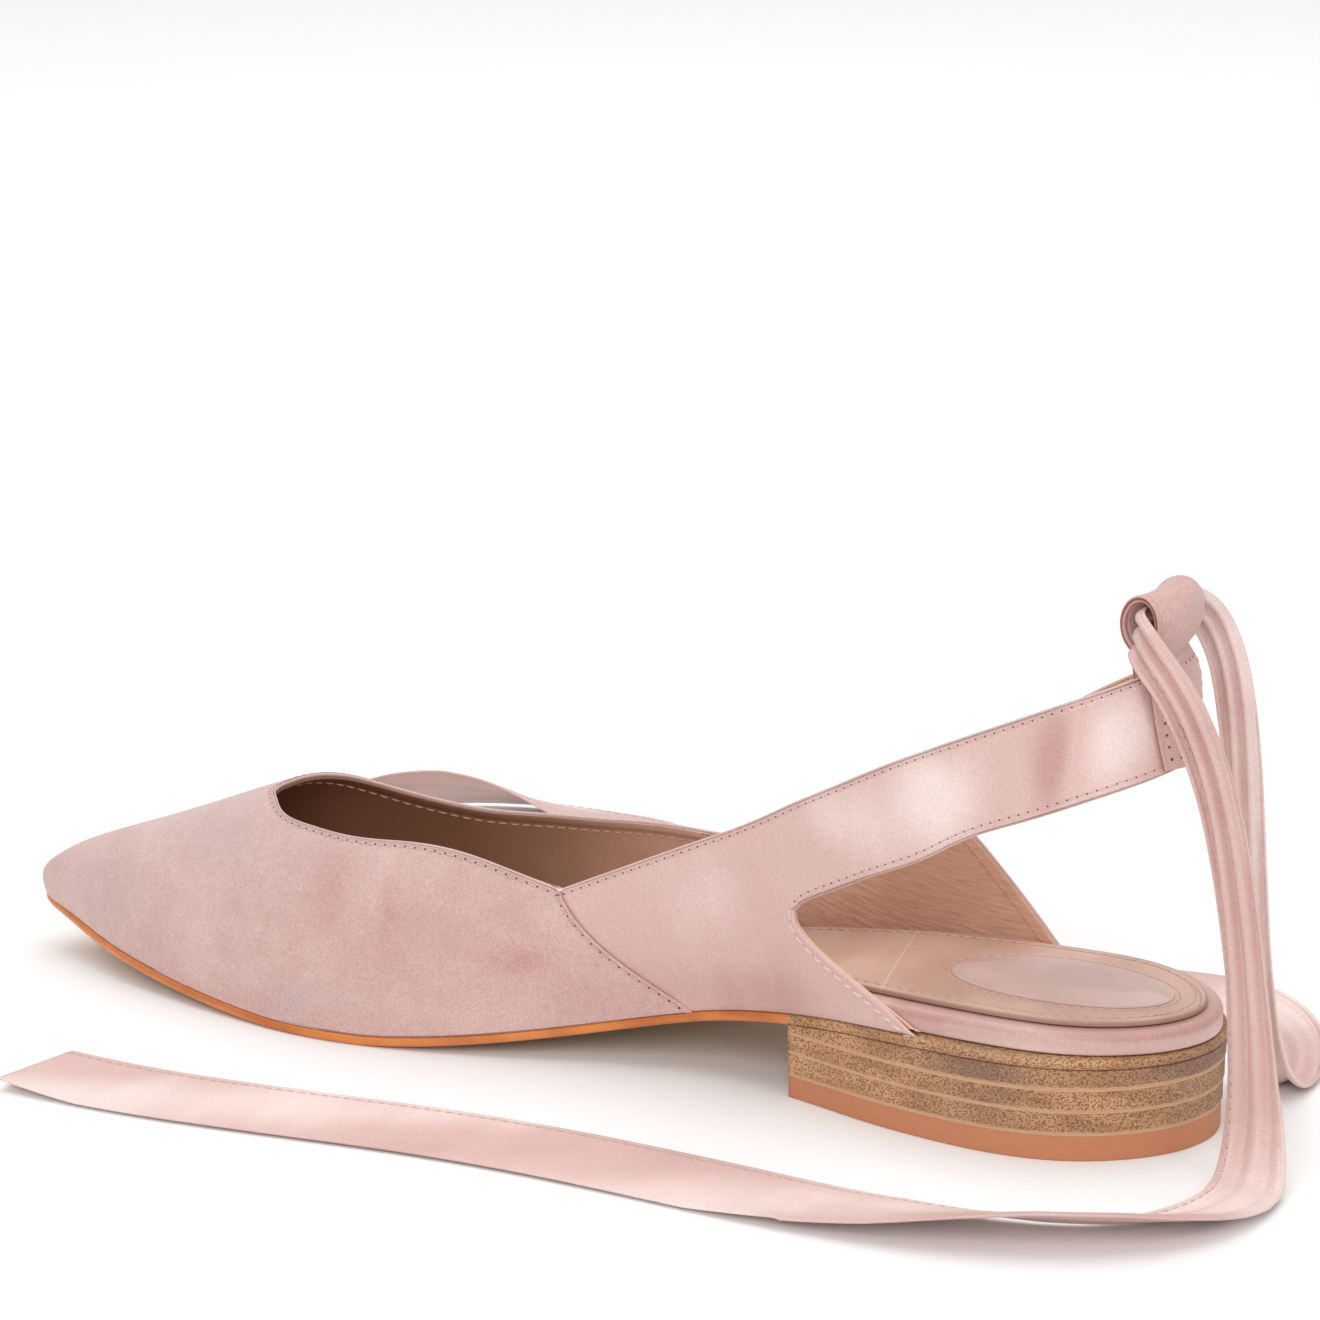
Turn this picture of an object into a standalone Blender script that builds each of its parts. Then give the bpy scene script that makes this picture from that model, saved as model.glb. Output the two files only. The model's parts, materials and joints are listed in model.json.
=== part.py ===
"""Ballet flat for the right foot: pointed toe, slingback strap, stacked heel, ankle ribbon.

The shoe stands on z = 0 with its toe towards +Y and the lateral (outer) side towards +X.
Every table below is in millimetres in last coordinates: a station is the distance along
the shoe from the back of the heel seat, x is measured from the heel's centreline and
height from the floor. Each piece hangs from an empty that moves the heel's rest point
to the origin.
"""

import math

import bmesh
import bpy
import numpy as np

MM = 0.001
MEDIAL, LATERAL = -1, 1

# Driving dimensions, in millimetres.
LENGTH = 265.6
BREAST_STATION = 82.0
REST_STATION = 40.0
OUTSOLE_THICKNESS = 1.9
UPPER_WALL = 1.6
VAMP_STEP = 0.6
FIT_GAP = 0.3
FEATHER_INSET = 1.2
FEATHER_LIFT = 0.5
BOARD_SEAT_THICKNESS = 4.0
BOARD_FORE_THICKNESS = 2.0
SOCK_THICKNESS = 1.0
HEEL_PAD_THICKNESS = 0.9
RIBBON_THICKNESS = 1.0
WELD = 0.01
SHARP_ANGLE = 40.0

# How finely the plates are lofted: sections along each, cells across, and the width
# under which an end is one point.
OUTSOLE_SECTIONS = 44
INSOLE_SECTIONS = 38
HEEL_SECTIONS = 22
HEEL_PAD_SECTIONS = 20
HEEL_PAD_TURNS = 60
SLAB_CELLS = 4
OUTLINE_POINTS = 1200
SIDE_SAMPLES = 2000
LEAST_WIDTH = 0.5

# Where the board steps from its wrapped heel seat to its thinner forepart.
BOARD_STEP_END = 150.0
BOARD_STEP = 70.0
SEAT_BACK_RUN = 42.0
SEAT_BACK_INSET = 0.9
SOCK_BACK_INSET = 3.9
SOCK_SEAT_INSET = 7.6
# Raised pad of the sock. Columns: middle station, half length, half width.
HEEL_PAD_OVAL = (33.0, 23.0, 12.5)

# The stacked heel, from the floor up.
HEEL_NAMES = ("top_piece", "heel_lift_low", "heel_lift_middle")
HEEL_INSETS = (1.0, 0.75, 0.5, 0.3)
# Columns: height at the back, height at the breast.
HEEL_PLANES = ((0.0, 0.0), (5.5, 4.7), (10.0, 9.4), (14.6, 13.4))

# Plan of the sole's edge, going round from the back of the heel.
# Columns: station, x.
MEDIAL_EDGE = (
    (0.0, 0.0),
    (2.6, -10.5),
    (9.5, -19.5),
    (20.0, -26.3),
    (33.0, -29.2),
    (47.0, -28.7),
    (62.0, -26.2),
    (74.0, -23.0),
    (86.0, -20.0),
    (99.0, -18.6),
    (112.0, -20.0),
    (126.0, -23.2),
    (140.0, -27.6),
    (155.0, -32.2),
    (170.0, -35.8),
    (184.0, -37.0),
    (197.0, -35.8),
    (211.0, -33.2),
    (224.0, -30.0),
    (237.0, -25.8),
    (249.0, -20.6),
    (258.8, -15.9),
    (264.0, -13.0),
)
TOE_TIP = (LENGTH, -10.6)
LATERAL_EDGE = (
    (264.0, -8.0),
    (258.3, -4.3),
    (249.0, 0.2),
    (237.0, 6.8),
    (224.0, 14.6),
    (210.0, 22.6),
    (196.0, 29.2),
    (181.0, 34.4),
    (165.0, 37.6),
    (148.0, 38.3),
    (130.0, 36.6),
    (112.0, 33.6),
    (94.0, 30.6),
    (78.0, 28.6),
    (62.0, 27.8),
    (47.0, 28.0),
    (33.0, 28.2),
    (20.0, 25.9),
    (9.5, 19.5),
    (2.6, 10.5),
)

# Underside of the outsole: heel seat, waist, tread and toe spring.
# Columns: station, height.
TREAD_PROFILE = (
    (0.0, 18.2),
    (20.0, 18.4),
    (40.0, 18.3),
    (55.0, 17.8),
    (69.0, 16.8),
    (82.0, 15.1),
    (92.0, 13.5),
    (102.0, 11.7),
    (112.0, 9.5),
    (126.0, 6.3),
    (140.0, 3.6),
    (154.0, 1.5),
    (166.0, 0.3),
    (180.0, -0.25),
    (194.0, 0.1),
    (206.0, 0.9),
    (218.0, 2.0),
    (230.0, 3.4),
    (242.0, 5.1),
    (254.0, 7.2),
    (265.0, 9.4),
)

# Spine of the last: the line that the sections rise to.
# Columns: station, x, height.
SPINE = (
    (40.0, 0.0, 110.0),
    (80.0, 0.0, 96.0),
    (110.0, 0.0, 82.0),
    (135.0, -0.5, 70.0),
    (155.0, -1.2, 61.4),
    (172.0, -2.2, 54.6),
    (188.0, -3.4, 49.2),
    (200.0, -4.4, 44.8),
    (212.0, -5.6, 40.6),
    (226.0, -7.2, 35.0),
    (240.0, -8.8, 29.6),
    (252.0, -9.8, 25.2),
    (265.0, -10.6, 20.4),
)
TOE_CENTRE_STATION = 247.0

# Fullness of the wall above the sole's edge.
# Columns: station, medial bulge, lateral bulge, squareness of the section.
SECTION_FORM = (
    (40.0, 0.00, 0.00, 0.80),
    (60.0, 0.06, 0.00, 0.80),
    (80.0, 0.30, 0.03, 0.80),
    (100.0, 0.42, 0.05, 0.80),
    (125.0, 0.26, 0.05, 0.80),
    (150.0, 0.12, 0.06, 0.78),
    (175.0, 0.06, 0.06, 0.75),
    (200.0, 0.05, 0.05, 0.72),
    (230.0, 0.07, 0.07, 0.70),
    (247.0, 0.11, 0.11, 0.68),
    (265.0, 0.24, 0.24, 0.60),
)

# Columns of the vamp's wall behind the toe: each runs from the sole's edge to the
# spine or, behind the throat, to the top line. Angle 90 is the spine. The first four
# rows meet the spine, and the last one is the seam where the quarter begins.
# Columns: edge station, top station, top angle in degrees.
MEDIAL_VAMP = (
    (247.0, 247.0, 90.0),
    (234.0, 232.0, 90.0),
    (222.0, 219.0, 90.0),
    (212.0, 208.4, 90.0),
    (207.0, 206.6, 83.0),
    (201.0, 203.4, 75.6),
    (193.0, 198.2, 65.0),
    (182.0, 189.6, 57.0),
    (168.0, 178.0, 50.6),
    (152.0, 165.5, 46.2),
    (136.8, 153.0, 40.4),
    (120.6, 141.5, 33.3),
    (104.5, 130.5, 26.4),
)
LATERAL_VAMP = (
    (247.0, 247.0, 90.0),
    (234.0, 232.0, 90.0),
    (222.0, 219.0, 90.0),
    (212.0, 208.4, 90.0),
    (206.5, 205.4, 74.5),
    (199.0, 199.6, 56.3),
    (189.0, 191.0, 43.4),
    (176.0, 180.5, 35.9),
    (161.0, 169.0, 32.5),
    (144.0, 157.0, 29.2),
    (127.0, 145.0, 26.6),
    (110.0, 133.0, 23.6),
    (94.0, 121.5, 20.3),
)

# Columns of the quarter, from the vamp's seam to the corner where the strap leaves it.
# Columns: edge station, middle station, middle height, top station, top height.
MEDIAL_QUARTER = (
    (104.5, 121.6, 24.9, 130.5, 36.4),
    (91.3, 111.1, 28.3, 121.4, 40.6),
    (77.5, 100.5, 31.8, 112.2, 44.9),
    (64.3, 90.2, 35.7, 103.4, 49.0),
    (51.0, 81.0, 39.2, 95.0, 52.9),
)
LATERAL_QUARTER = (
    (94.0, 110.8, 24.4, 121.5, 32.8),
    (81.2, 99.6, 30.0, 112.0, 39.1),
    (68.4, 88.4, 35.6, 102.6, 45.0),
    (55.5, 77.2, 41.2, 93.4, 50.4),
    (42.7, 66.1, 46.6, 84.5, 55.2),
)

# Edges of the strap, from the quarter's corner towards the back of the heel.
# Columns: lower station, lower height, upper station, upper height.
MEDIAL_STRAP = (
    (78.6, 40.8, 89.6, 55.7),
    (71.6, 44.5, 81.6, 60.3),
    (62.0, 49.4, 71.6, 65.7),
    (52.0, 54.2, 61.4, 71.2),
    (42.6, 59.9, 51.0, 76.3),
)
LATERAL_STRAP = (
    (61.4, 48.0, 78.4, 58.0),
    (57.6, 49.7, 71.4, 60.9),
    (53.0, 51.8, 64.4, 63.8),
    (48.0, 54.2, 57.6, 66.8),
    (42.6, 56.8, 51.0, 70.0),
)

# Half oval of the strap round the heel of the foot, lower edge then upper edge.
# Columns: back station, front station, half width, back height.
STRAP_BACK_LOWER = (6.6, 42.6, 25.0, 74.6)
STRAP_BACK_UPPER = (11.2, 51.0, 23.5, 93.4)
# Exponent of the half oval, 2 for an ellipse, and how early its edges climb.
STRAP_ROUNDNESS = 2.1
OVAL_CLIMB = 0.9
# Turns round the half oval at which its edges get a point, just past the back.
OVAL_TURNS = (90.0, 72.0, 54.0, 36.0, 18.0, 0.0, -18.0)
STRAP_STEPS = 22

# The pull loop's strip seen from the side: distance out from the strap's outer face,
# height above the strap's lower edge, and how far the strip has left the strap's curve.
# Columns: outward, height, straightness.
TAB_PROFILE = (
    (1.25, 0.0, 0.0),
    (1.25, 9.0, 0.0),
    (1.25, 18.6, 0.0),
    (0.3, 20.6, 0.1),
    (1.5, 22.8, 0.3),
    (2.5, 26.0, 0.6),
    (1.9, 29.6, 0.9),
    (-0.6, 32.0, 1.0),
    (-3.4, 31.8, 1.0),
    (-5.9, 29.4, 0.9),
    (-6.7, 26.0, 0.6),
    (-5.2, 22.8, 0.3),
    (-2.6, 20.6, 0.1),
    (-2.7, 18.6, 0.0),
    (-2.7, 9.0, 0.0),
    (-2.7, 1.5, 0.0),
)
TAB_HALF_WIDTH = 10.0
TAB_THICKNESS = 1.2
TAB_LEAN = 4.6
TAB_RADIUS = 16.0
LOOP_RADIUS = 30.0
STRAP_RISE = 18.6
TAB_STEPS = 37
TAB_CELLS = 4

# Each half of the ribbon from the middle of the loop down behind the heel. It passes the
# loop gathered and on edge, falls gathered, and opens out along the floor.
# Columns: distance out from the centreline, station, height, width, rise of its width in
# degrees (90 is on edge).
MEDIAL_RIBBON_HANG = (
    (0.4, 13.6, 100.8, 8.2, 90.0),
    (6.0, 14.2, 100.8, 8.0, 90.0),
    (11.0, 13.8, 100.8, 8.0, 82.0),
    (15.0, 10.6, 98.6, 7.6, 56.0),
    (16.6, 5.2, 93.4, 7.4, 30.0),
    (16.8, 0.0, 85.4, 7.4, 12.0),
    (16.4, -4.8, 73.0, 7.6, 2.0),
    (16.0, -8.6, 56.0, 8.0, 0.0),
    (15.8, -11.4, 38.0, 8.8, 0.0),
    (16.2, -13.6, 20.0, 10.6, 0.0),
    (18.6, -15.2, 7.4, 12.8, 0.0),
    (23.8, -16.4, 1.9, 14.2, 0.0),
)
LATERAL_RIBBON_HANG = (
    (0.4, 13.6, 100.8, 8.2, 90.0),
    (6.0, 14.2, 100.8, 8.0, 90.0),
    (11.4, 14.4, 100.8, 8.0, 82.0),
    (16.2, 12.6, 98.6, 7.6, 56.0),
    (18.8, 9.8, 92.6, 7.4, 28.0),
    (19.8, 7.4, 83.0, 7.4, 8.0),
    (20.2, 5.6, 69.0, 7.6, 0.0),
    (20.4, 4.2, 52.0, 8.0, 0.0),
    (20.6, 3.0, 34.0, 9.0, 0.0),
    (21.6, 2.0, 18.0, 10.8, 0.0),
    (24.8, 1.2, 7.0, 12.8, 0.0),
    (31.2, 1.0, 1.9, 14.2, 0.0),
)
# The stretch on the floor, where the ribbon banks round its turns and lies down to run on.
# The lateral half turns back beside the toe.
# Columns: distance out from the centreline, station, width, rise of its width in degrees.
MEDIAL_RIBBON_FLOOR = (
    (31.6, -17.0, 15.0, 4.0),
    (40.6, -15.6, 16.0, 10.0),
    (49.6, -11.4, 17.0, 18.0),
    (57.8, -4.0, 18.0, 24.0),
    (64.2, 7.0, 19.2, 24.0),
    (68.4, 20.4, 20.4, 18.0),
    (70.6, 35.4, 21.6, 10.0),
    (71.2, 52.0, 23.0, 4.0),
    (70.8, 71.0, 24.0, 0.0),
    (70.2, 93.0, 24.0, 0.0),
    (70.6, 116.0, 24.0, 0.0),
    (72.8, 139.0, 24.0, 0.0),
    (76.2, 161.0, 24.0, 0.0),
    (79.2, 182.0, 24.0, 0.0),
    (80.6, 201.0, 24.0, 0.0),
    (80.2, 219.0, 24.0, 4.0),
)
LATERAL_RIBBON_FLOOR = (
    (40.2, 2.4, 15.2, 4.0),
    (49.0, 6.0, 16.2, 10.0),
    (56.4, 12.6, 17.4, 16.0),
    (61.6, 22.0, 18.6, 18.0),
    (64.4, 34.4, 20.0, 14.0),
    (65.2, 49.0, 21.6, 8.0),
    (64.6, 65.0, 23.0, 2.0),
    (63.4, 83.0, 24.0, 0.0),
    (62.2, 104.0, 24.0, 0.0),
    (60.8, 125.0, 24.0, 0.0),
    (58.4, 145.0, 24.0, 0.0),
    (54.6, 164.0, 24.0, 0.0),
    (50.2, 182.0, 23.4, 6.0),
    (46.8, 199.0, 22.4, 16.0),
    (46.4, 216.0, 21.2, 28.0),
    (51.4, 232.0, 20.4, 38.0),
    (62.0, 244.6, 20.0, 42.0),
    (76.6, 250.8, 20.0, 43.0),
    (92.2, 248.8, 20.0, 42.0),
    (104.6, 239.8, 20.4, 38.0),
    (111.4, 226.6, 21.2, 28.0),
    (113.4, 211.6, 22.4, 16.0),
    (112.8, 195.0, 23.4, 6.0),
    (111.6, 176.0, 24.0, 0.0),
    (110.4, 157.0, 24.0, 0.0),
    (110.0, 138.0, 24.0, 0.0),
    (110.8, 120.0, 24.0, 4.0),
)
RIBBON_FLOOR_HEIGHT = 0.8
RIBBON_SPACING = 7.4
RIBBON_CELLS = 2


def natural_spline(knots, values):
    """A smooth curve through rows of values, as a function of the knot parameter."""
    knots = np.asarray(knots, float)
    values = np.asarray(values, float)
    count = len(knots)
    gaps = np.diff(knots)
    matrix = np.eye(count)
    right = np.zeros_like(values)
    for i in range(1, count - 1):
        matrix[i, i - 1] = gaps[i - 1]
        matrix[i, i] = 2 * (gaps[i - 1] + gaps[i])
        matrix[i, i + 1] = gaps[i]
        ahead = (values[i + 1] - values[i]) / gaps[i]
        behind = (values[i] - values[i - 1]) / gaps[i - 1]
        right[i] = 6 * (ahead - behind)
    bend = np.linalg.solve(matrix, right)

    def curve(at):
        at = np.asarray(at, float)
        i = np.clip(np.searchsorted(knots, at) - 1, 0, count - 2)
        gap = gaps[i]
        near = (knots[i + 1] - at) / gap
        far = 1 - near
        if values.ndim > 1:
            gap, near, far = gap[..., None], near[..., None], far[..., None]
        cubic = (near**3 - near) * bend[i] + (far**3 - far) * bend[i + 1]
        return near * values[i] + far * values[i + 1] + cubic * gap**2 / 6

    return curve


def column_spline(table, column):
    """A table's column as a smooth function of its first column."""
    return natural_spline([row[0] for row in table], [row[column] for row in table])


def path_spline(points):
    """A smooth path through points, as a function of a 0 to 1 share of its length."""
    points = np.asarray(points, float)
    steps = np.linalg.norm(np.diff(points, axis=0), axis=1)
    share = np.concatenate([[0.0], np.cumsum(steps)]) / steps.sum()
    return natural_spline(share, points), share


def closed_outline():
    """The sole's edge in plan, as dense points round it and their outward directions."""
    medial = [(x, station) for station, x in MEDIAL_EDGE]
    lateral = [(x, station) for station, x in LATERAL_EDGE]
    tip = [(TOE_TIP[1], TOE_TIP[0])]
    ring = np.array(medial + tip + lateral, float)
    wrap = 5
    looped = np.concatenate([ring[-wrap:], ring, ring[: wrap + 1]])
    curve, share = path_spline(looped)
    start, end = share[wrap], share[wrap + len(ring)]
    points = curve(np.linspace(start, end, OUTLINE_POINTS + 1)[:-1])
    along = np.roll(points, -1, axis=0) - np.roll(points, 1, axis=0)
    outward = np.stack([-along[:, 1], along[:, 0]], axis=1)
    outward /= np.linalg.norm(outward, axis=1)[:, None]
    return points, outward


EDGE, EDGE_OUTWARD = closed_outline()


def inset_edge(inset):
    """The sole's edge moved inwards. The inset may be an array, one value a point."""
    return EDGE - EDGE_OUTWARD * np.reshape(inset, (-1, 1))


def edge_sides(points):
    """The medial and lateral x of an outline, as functions of the station."""
    back = int(np.argmin(points[:, 1]))
    ring = np.roll(points, -back, axis=0)
    tip = int(np.argmax(ring[:, 1]))
    medial = ring[: tip + 1]
    lateral = np.concatenate([ring[tip:], ring[:1]])[::-1]

    def side(run):
        station = np.maximum.accumulate(run[:, 1])
        return lambda at: np.interp(at, station, run[:, 0])

    left, right = side(medial), side(lateral)
    stations = np.linspace(ring[0, 1], ring[tip, 1], SIDE_SAMPLES + 1)
    inside = stations[right(stations) > left(stations)]
    return left, right, inside[0], inside[-1]


tread_curve = column_spline(TREAD_PROFILE, 1)
spine_x = column_spline(SPINE, 1)
spine_height = column_spline(SPINE, 2)
medial_bulge = column_spline(SECTION_FORM, 1)
lateral_bulge = column_spline(SECTION_FORM, 2)
squareness = column_spline(SECTION_FORM, 3)


def tread(station):
    """Height of the outsole's underside. The ball of the foot rests flat on the floor."""
    return np.maximum(tread_curve(station), 0.0)


def sole_top(station):
    """Height of the outsole's upper face."""
    return tread(station) + OUTSOLE_THICKNESS


def cosine_stations(start, end, count, both_ends):
    """Stations that crowd towards the round end, or both round ends, of an outline."""
    share = np.linspace(0.0, 1.0, count)
    if both_ends:
        return start + (end - start) * (1 - np.cos(math.pi * share)) / 2
    return start + (end - start) * (1 - np.cos(math.pi * share / 2))


def slab_mesh(outline, low, high, count, end):
    """A plate between two heights over an outline, lofted from station to station."""
    medial, lateral, back, tip = edge_sides(outline)
    stations = cosine_stations(back, end or tip, count, both_ends=end is None)
    points = []
    rows = []
    for station in stations:
        left, right = float(medial(station)), float(lateral(station))
        cells = SLAB_CELLS if right - left > LEAST_WIDTH else 0
        shares = np.linspace(0.0, 1.0, cells + 1) if cells else [0.5]
        row = []
        for height in (low, high):
            first = len(points)
            for share in shares:
                x = left + (right - left) * share
                points.append((x, station, float(height(station))))
            row.append(list(range(first, len(points))))
        rows.append(row)
    return points, slab_faces(rows)


def slab_faces(rows):
    """Faces of a plate from rows of (lower indices, upper indices)."""
    faces = []

    def bridge(first, second, flip):
        if len(first) == 1:
            cells = [(first[0], second[i + 1], second[i]) for i in range(len(second) - 1)]
        elif len(second) == 1:
            cells = [(first[i], first[i + 1], second[0]) for i in range(len(first) - 1)]
        else:
            cells = [
                (first[i], first[i + 1], second[i + 1], second[i])
                for i in range(len(first) - 1)
            ]
        faces.extend(tuple(reversed(cell)) if flip else cell for cell in cells)

    for (low, high), (next_low, next_high) in zip(rows, rows[1:]):
        bridge(low, next_low, True)
        bridge(high, next_high, False)
        faces.append((low[0], high[0], next_high[0], next_low[0]))
        faces.append((high[-1], low[-1], next_low[-1], next_high[-1]))
    for (low, high), flip in ((rows[0], False), (rows[-1], True)):
        for i in range(len(low) - 1):
            cell = (low[i], low[i + 1], high[i + 1], high[i])
            faces.append(tuple(reversed(cell)) if flip else cell)
    return faces


FEATHER = inset_edge(FEATHER_INSET)
FEATHER_X = dict(zip((MEDIAL, LATERAL), edge_sides(FEATHER)[:2]))
BULGE = {MEDIAL: medial_bulge, LATERAL: lateral_bulge}
LOWER_ROWS = 6
UPPER_ROWS = 5
TOE_COLUMNS = 8
SPINE_ROWS = 4
# How far the quarter's rear edge is hollowed: 0 for a straight edge, 1 for one that stands
# upright at its corner.
REAR_CURL = {MEDIAL: 0.88, LATERAL: 0.0}
SEAM_RAMP = 1.0


def feather_height(station):
    """Height of the upper's lower edge."""
    return sole_top(station) + FEATHER_LIFT


def spread(station, angle, side):
    """Share of the way from the spine out to the sole's edge, over 1 where it bulges."""
    full = np.clip(np.cos(np.radians(angle)), 0.0, 1.0) ** squareness(station)
    return full * (1 + BULGE[side](station) * np.sin(np.radians(2 * angle)))


def last_point(side, station, angle):
    """Point of the last's surface: angle 0 is the sole's edge and 90 the spine."""
    centre = float(spine_x(station))
    edge = float(FEATHER_X[side](station))
    low = float(feather_height(station))
    high = float(spine_height(station))
    x = centre + (edge - centre) * float(spread(station, angle, side))
    return np.array([x, station, low + (high - low) * math.sin(math.radians(angle))])


def toe_point(side, edge, angle):
    """Point of the toe's cap, on the straight line in plan from its centre to the edge."""
    centre = np.array([float(spine_x(TOE_CENTRE_STATION)), TOE_CENTRE_STATION])
    plan = centre + (edge - centre) * float(spread(edge[1], angle, side))
    low = float(feather_height(edge[1]))
    high = float(spine_height(plan[1]))
    rise = low + (high - low) * math.sin(math.radians(angle))
    return np.array([plan[0], plan[1], rise])


def angle_at(side, station, height):
    """The angle at which a section of the last reaches a height."""
    low = float(feather_height(station))
    high = float(spine_height(station))
    return math.degrees(math.asin((height - low) / (high - low)))


def toe_edge(side):
    """Points of the feather edge from the toe's tip back to the toe's centre station."""
    tip = int(np.argmax(FEATHER[:, 1]))
    ring = np.roll(FEATHER, -tip, axis=0)
    if side == MEDIAL:
        ring = np.roll(ring[::-1], 1, axis=0)
    run = ring[: int(np.argmax(ring[:, 1] < TOE_CENTRE_STATION)) + 1]
    curve, _ = path_spline(run[::4])
    return curve(np.linspace(0.0, 1.0, TOE_COLUMNS + 1))[:-1]


def wall_angles(top_angle):
    """Angles of a column's points, with its middle row half way up."""
    lower = np.linspace(0.0, top_angle / 2, LOWER_ROWS + 1)
    upper = np.linspace(top_angle / 2, top_angle, UPPER_ROWS + 1)
    return np.concatenate([lower, upper[1:]])


def sampled_rows(table, per_row):
    """A table's rows with smooth rows put in between."""
    curve = natural_spline(range(len(table)), table)
    return curve(np.linspace(0, len(table) - 1, (len(table) - 1) * per_row + 1))


def wall_shares():
    """Shares of the way up a column, crowded like its angles."""
    lower = np.linspace(0.0, 0.5, LOWER_ROWS + 1)
    upper = np.linspace(0.5, 1.0, UPPER_ROWS + 1)
    return np.concatenate([lower, upper[1:]])


def seam_bow(quarter_row):
    """How far forward of a straight line the seam passes, as a share of its lean."""
    edge, middle, _, top, _ = quarter_row
    return (middle - edge) / (top - edge) - 0.5


def bowed(share, bow):
    """A share of the way up a column, carried forward by its bow."""
    return share + 4 * bow * share * (1 - share)


def vamp_columns(side, table, bow):
    """The vamp's wall from the toe's tip to the seam, one list of points a column."""
    columns = []
    for edge in toe_edge(side):
        columns.append([toe_point(side, edge, a) for a in wall_angles(90.0)])
    closed = sampled_rows(table[:SPINE_ROWS], 2)
    open_rows = sampled_rows(table[SPINE_ROWS - 1 :], 2)[1:]
    rows = np.concatenate([closed, open_rows])
    for i, (edge_station, top_station, top_angle) in enumerate(rows):
        angles = wall_angles(min(top_angle, 90.0))
        lean = bowed(wall_shares(), bow * (i / (len(rows) - 1)) ** 2)
        stations = edge_station + (top_station - edge_station) * lean
        columns.append([last_point(side, y, a) for y, a in zip(stations, angles)])
    return columns


def quarter_columns(side, table):
    """The quarter's wall from the seam to the corner under the strap.

    The first column lies along the seam, and the last one is hollowed by the curl.
    """
    columns = []
    rows = sampled_rows(table, 2)
    shares = wall_shares()
    seam_edge, seam_middle, _, seam_top, _ = table[0]
    seam = seam_edge + (seam_top - seam_edge) * bowed(shares, seam_bow(table[0]))
    seam -= np.interp(shares, (0.0, 0.5, 1.0), (seam_edge, seam_middle, seam_top))
    for i, (edge, middle, middle_height, top, top_height) in enumerate(rows):
        done = i / (len(rows) - 1)
        lower = np.minimum(2 * shares, 1.0)
        curl = REAR_CURL[side] * (np.sin(lower * math.pi / 2) - lower) * (middle - edge)
        stations = np.interp(shares, (0.0, 0.5, 1.0), (edge, middle, top))
        stations += seam * (1 - done) + curl * done
        middle_angle = angle_at(side, middle, middle_height)
        top_angle = angle_at(side, top, top_height)
        angles = np.interp(shares, (0.0, 0.5, 1.0), (0.0, middle_angle, top_angle))
        column = [last_point(side, y, a) for y, a in zip(stations, angles)]
        columns.append([p + np.array([-side * VAMP_STEP, 0.0, 0.0]) for p in column])
    ramp_rise = float(sole_top(seam_edge - SEAM_RAMP) - sole_top(seam_edge))
    columns[0] = [p + np.array([0.0, -SEAM_RAMP, ramp_rise]) for p in columns[0]]
    return columns


def oval_points(side, back, front, half_width, front_height, back_height):
    """Points of a strap edge round the heel, from its widest place to the back."""
    points = []
    power = 2 / STRAP_ROUNDNESS
    for turn in np.radians(OVAL_TURNS):
        x = half_width * math.copysign(abs(math.sin(turn)) ** power, turn)
        station = front - (front - back) * math.cos(turn) ** power
        along = 1 - abs(turn) / (math.pi / 2)
        climb = along + OVAL_CLIMB * along * (1 - along)
        rise = front_height + (back_height - front_height) * climb
        points.append((side * x, station, rise))
    return points


def strap_edges(side, corner, top, table):
    """Smooth lower and upper edges of the strap, from the quarter's corner to the back."""
    edges = []
    for start, first, oval in ((corner, 0, STRAP_BACK_LOWER), (top, 2, STRAP_BACK_UPPER)):
        back, front, half_width, back_height = oval
        points = [tuple(start)]
        for row in table[:-1]:
            station, height = row[first], row[first + 1]
            share = (start[1] - station) / (start[1] - front)
            eased = share * share * (3 - 2 * share)
            x = start[0] + (side * half_width - start[0]) * eased
            points.append((x, station, height))
        points += oval_points(
            side, back, front, half_width, table[-1][first + 1], back_height
        )
        edges.append(path_spline(points))
    return edges


def strap_columns(side, corner_column, table):
    """The strap from the quarter's corner to the back, where it meets the other side."""
    corner = corner_column[LOWER_ROWS]
    top = corner_column[-1]
    shares = np.linspace(0.0, 1.0, UPPER_ROWS + 1)
    crown = [
        corner_column[LOWER_ROWS + i] - (corner + (top - corner) * share)
        for i, share in enumerate(shares)
    ]
    (low_curve, low_share), (high_curve, high_share) = strap_edges(
        side, corner, top, table
    )
    columns = []
    for step in np.linspace(0.0, 1.0, STRAP_STEPS + 1)[1:]:
        low = low_curve(step * low_share[-2])
        high = high_curve(step * high_share[-2])
        fade = (1 - step) ** 2
        column = [
            low + (high - low) * share + crown[i] * fade
            for i, share in enumerate(shares)
        ]
        columns.append(column)
    for point in columns[-1]:
        point[0] = 0.0
    return columns


def side_mesh(side, vamp, quarter, strap):
    """Points and faces of one side of the upper's outer surface."""
    points = []
    faces = []

    def add(column):
        first = len(points)
        points.extend(column)
        return list(range(first, len(points)))

    def bridge(first, second):
        for i in range(len(first) - 1):
            cell = (first[i], second[i], second[i + 1], first[i + 1])
            faces.append(cell if side == MEDIAL else tuple(reversed(cell)))

    walls = [add(column) for column in vamp + quarter]
    for first, second in zip(walls, walls[1:]):
        bridge(first, second)
    band = [walls[-1][LOWER_ROWS:]] + [add(column) for column in strap]
    for first, second in zip(band, band[1:]):
        bridge(first, second)
    return points, faces


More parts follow.
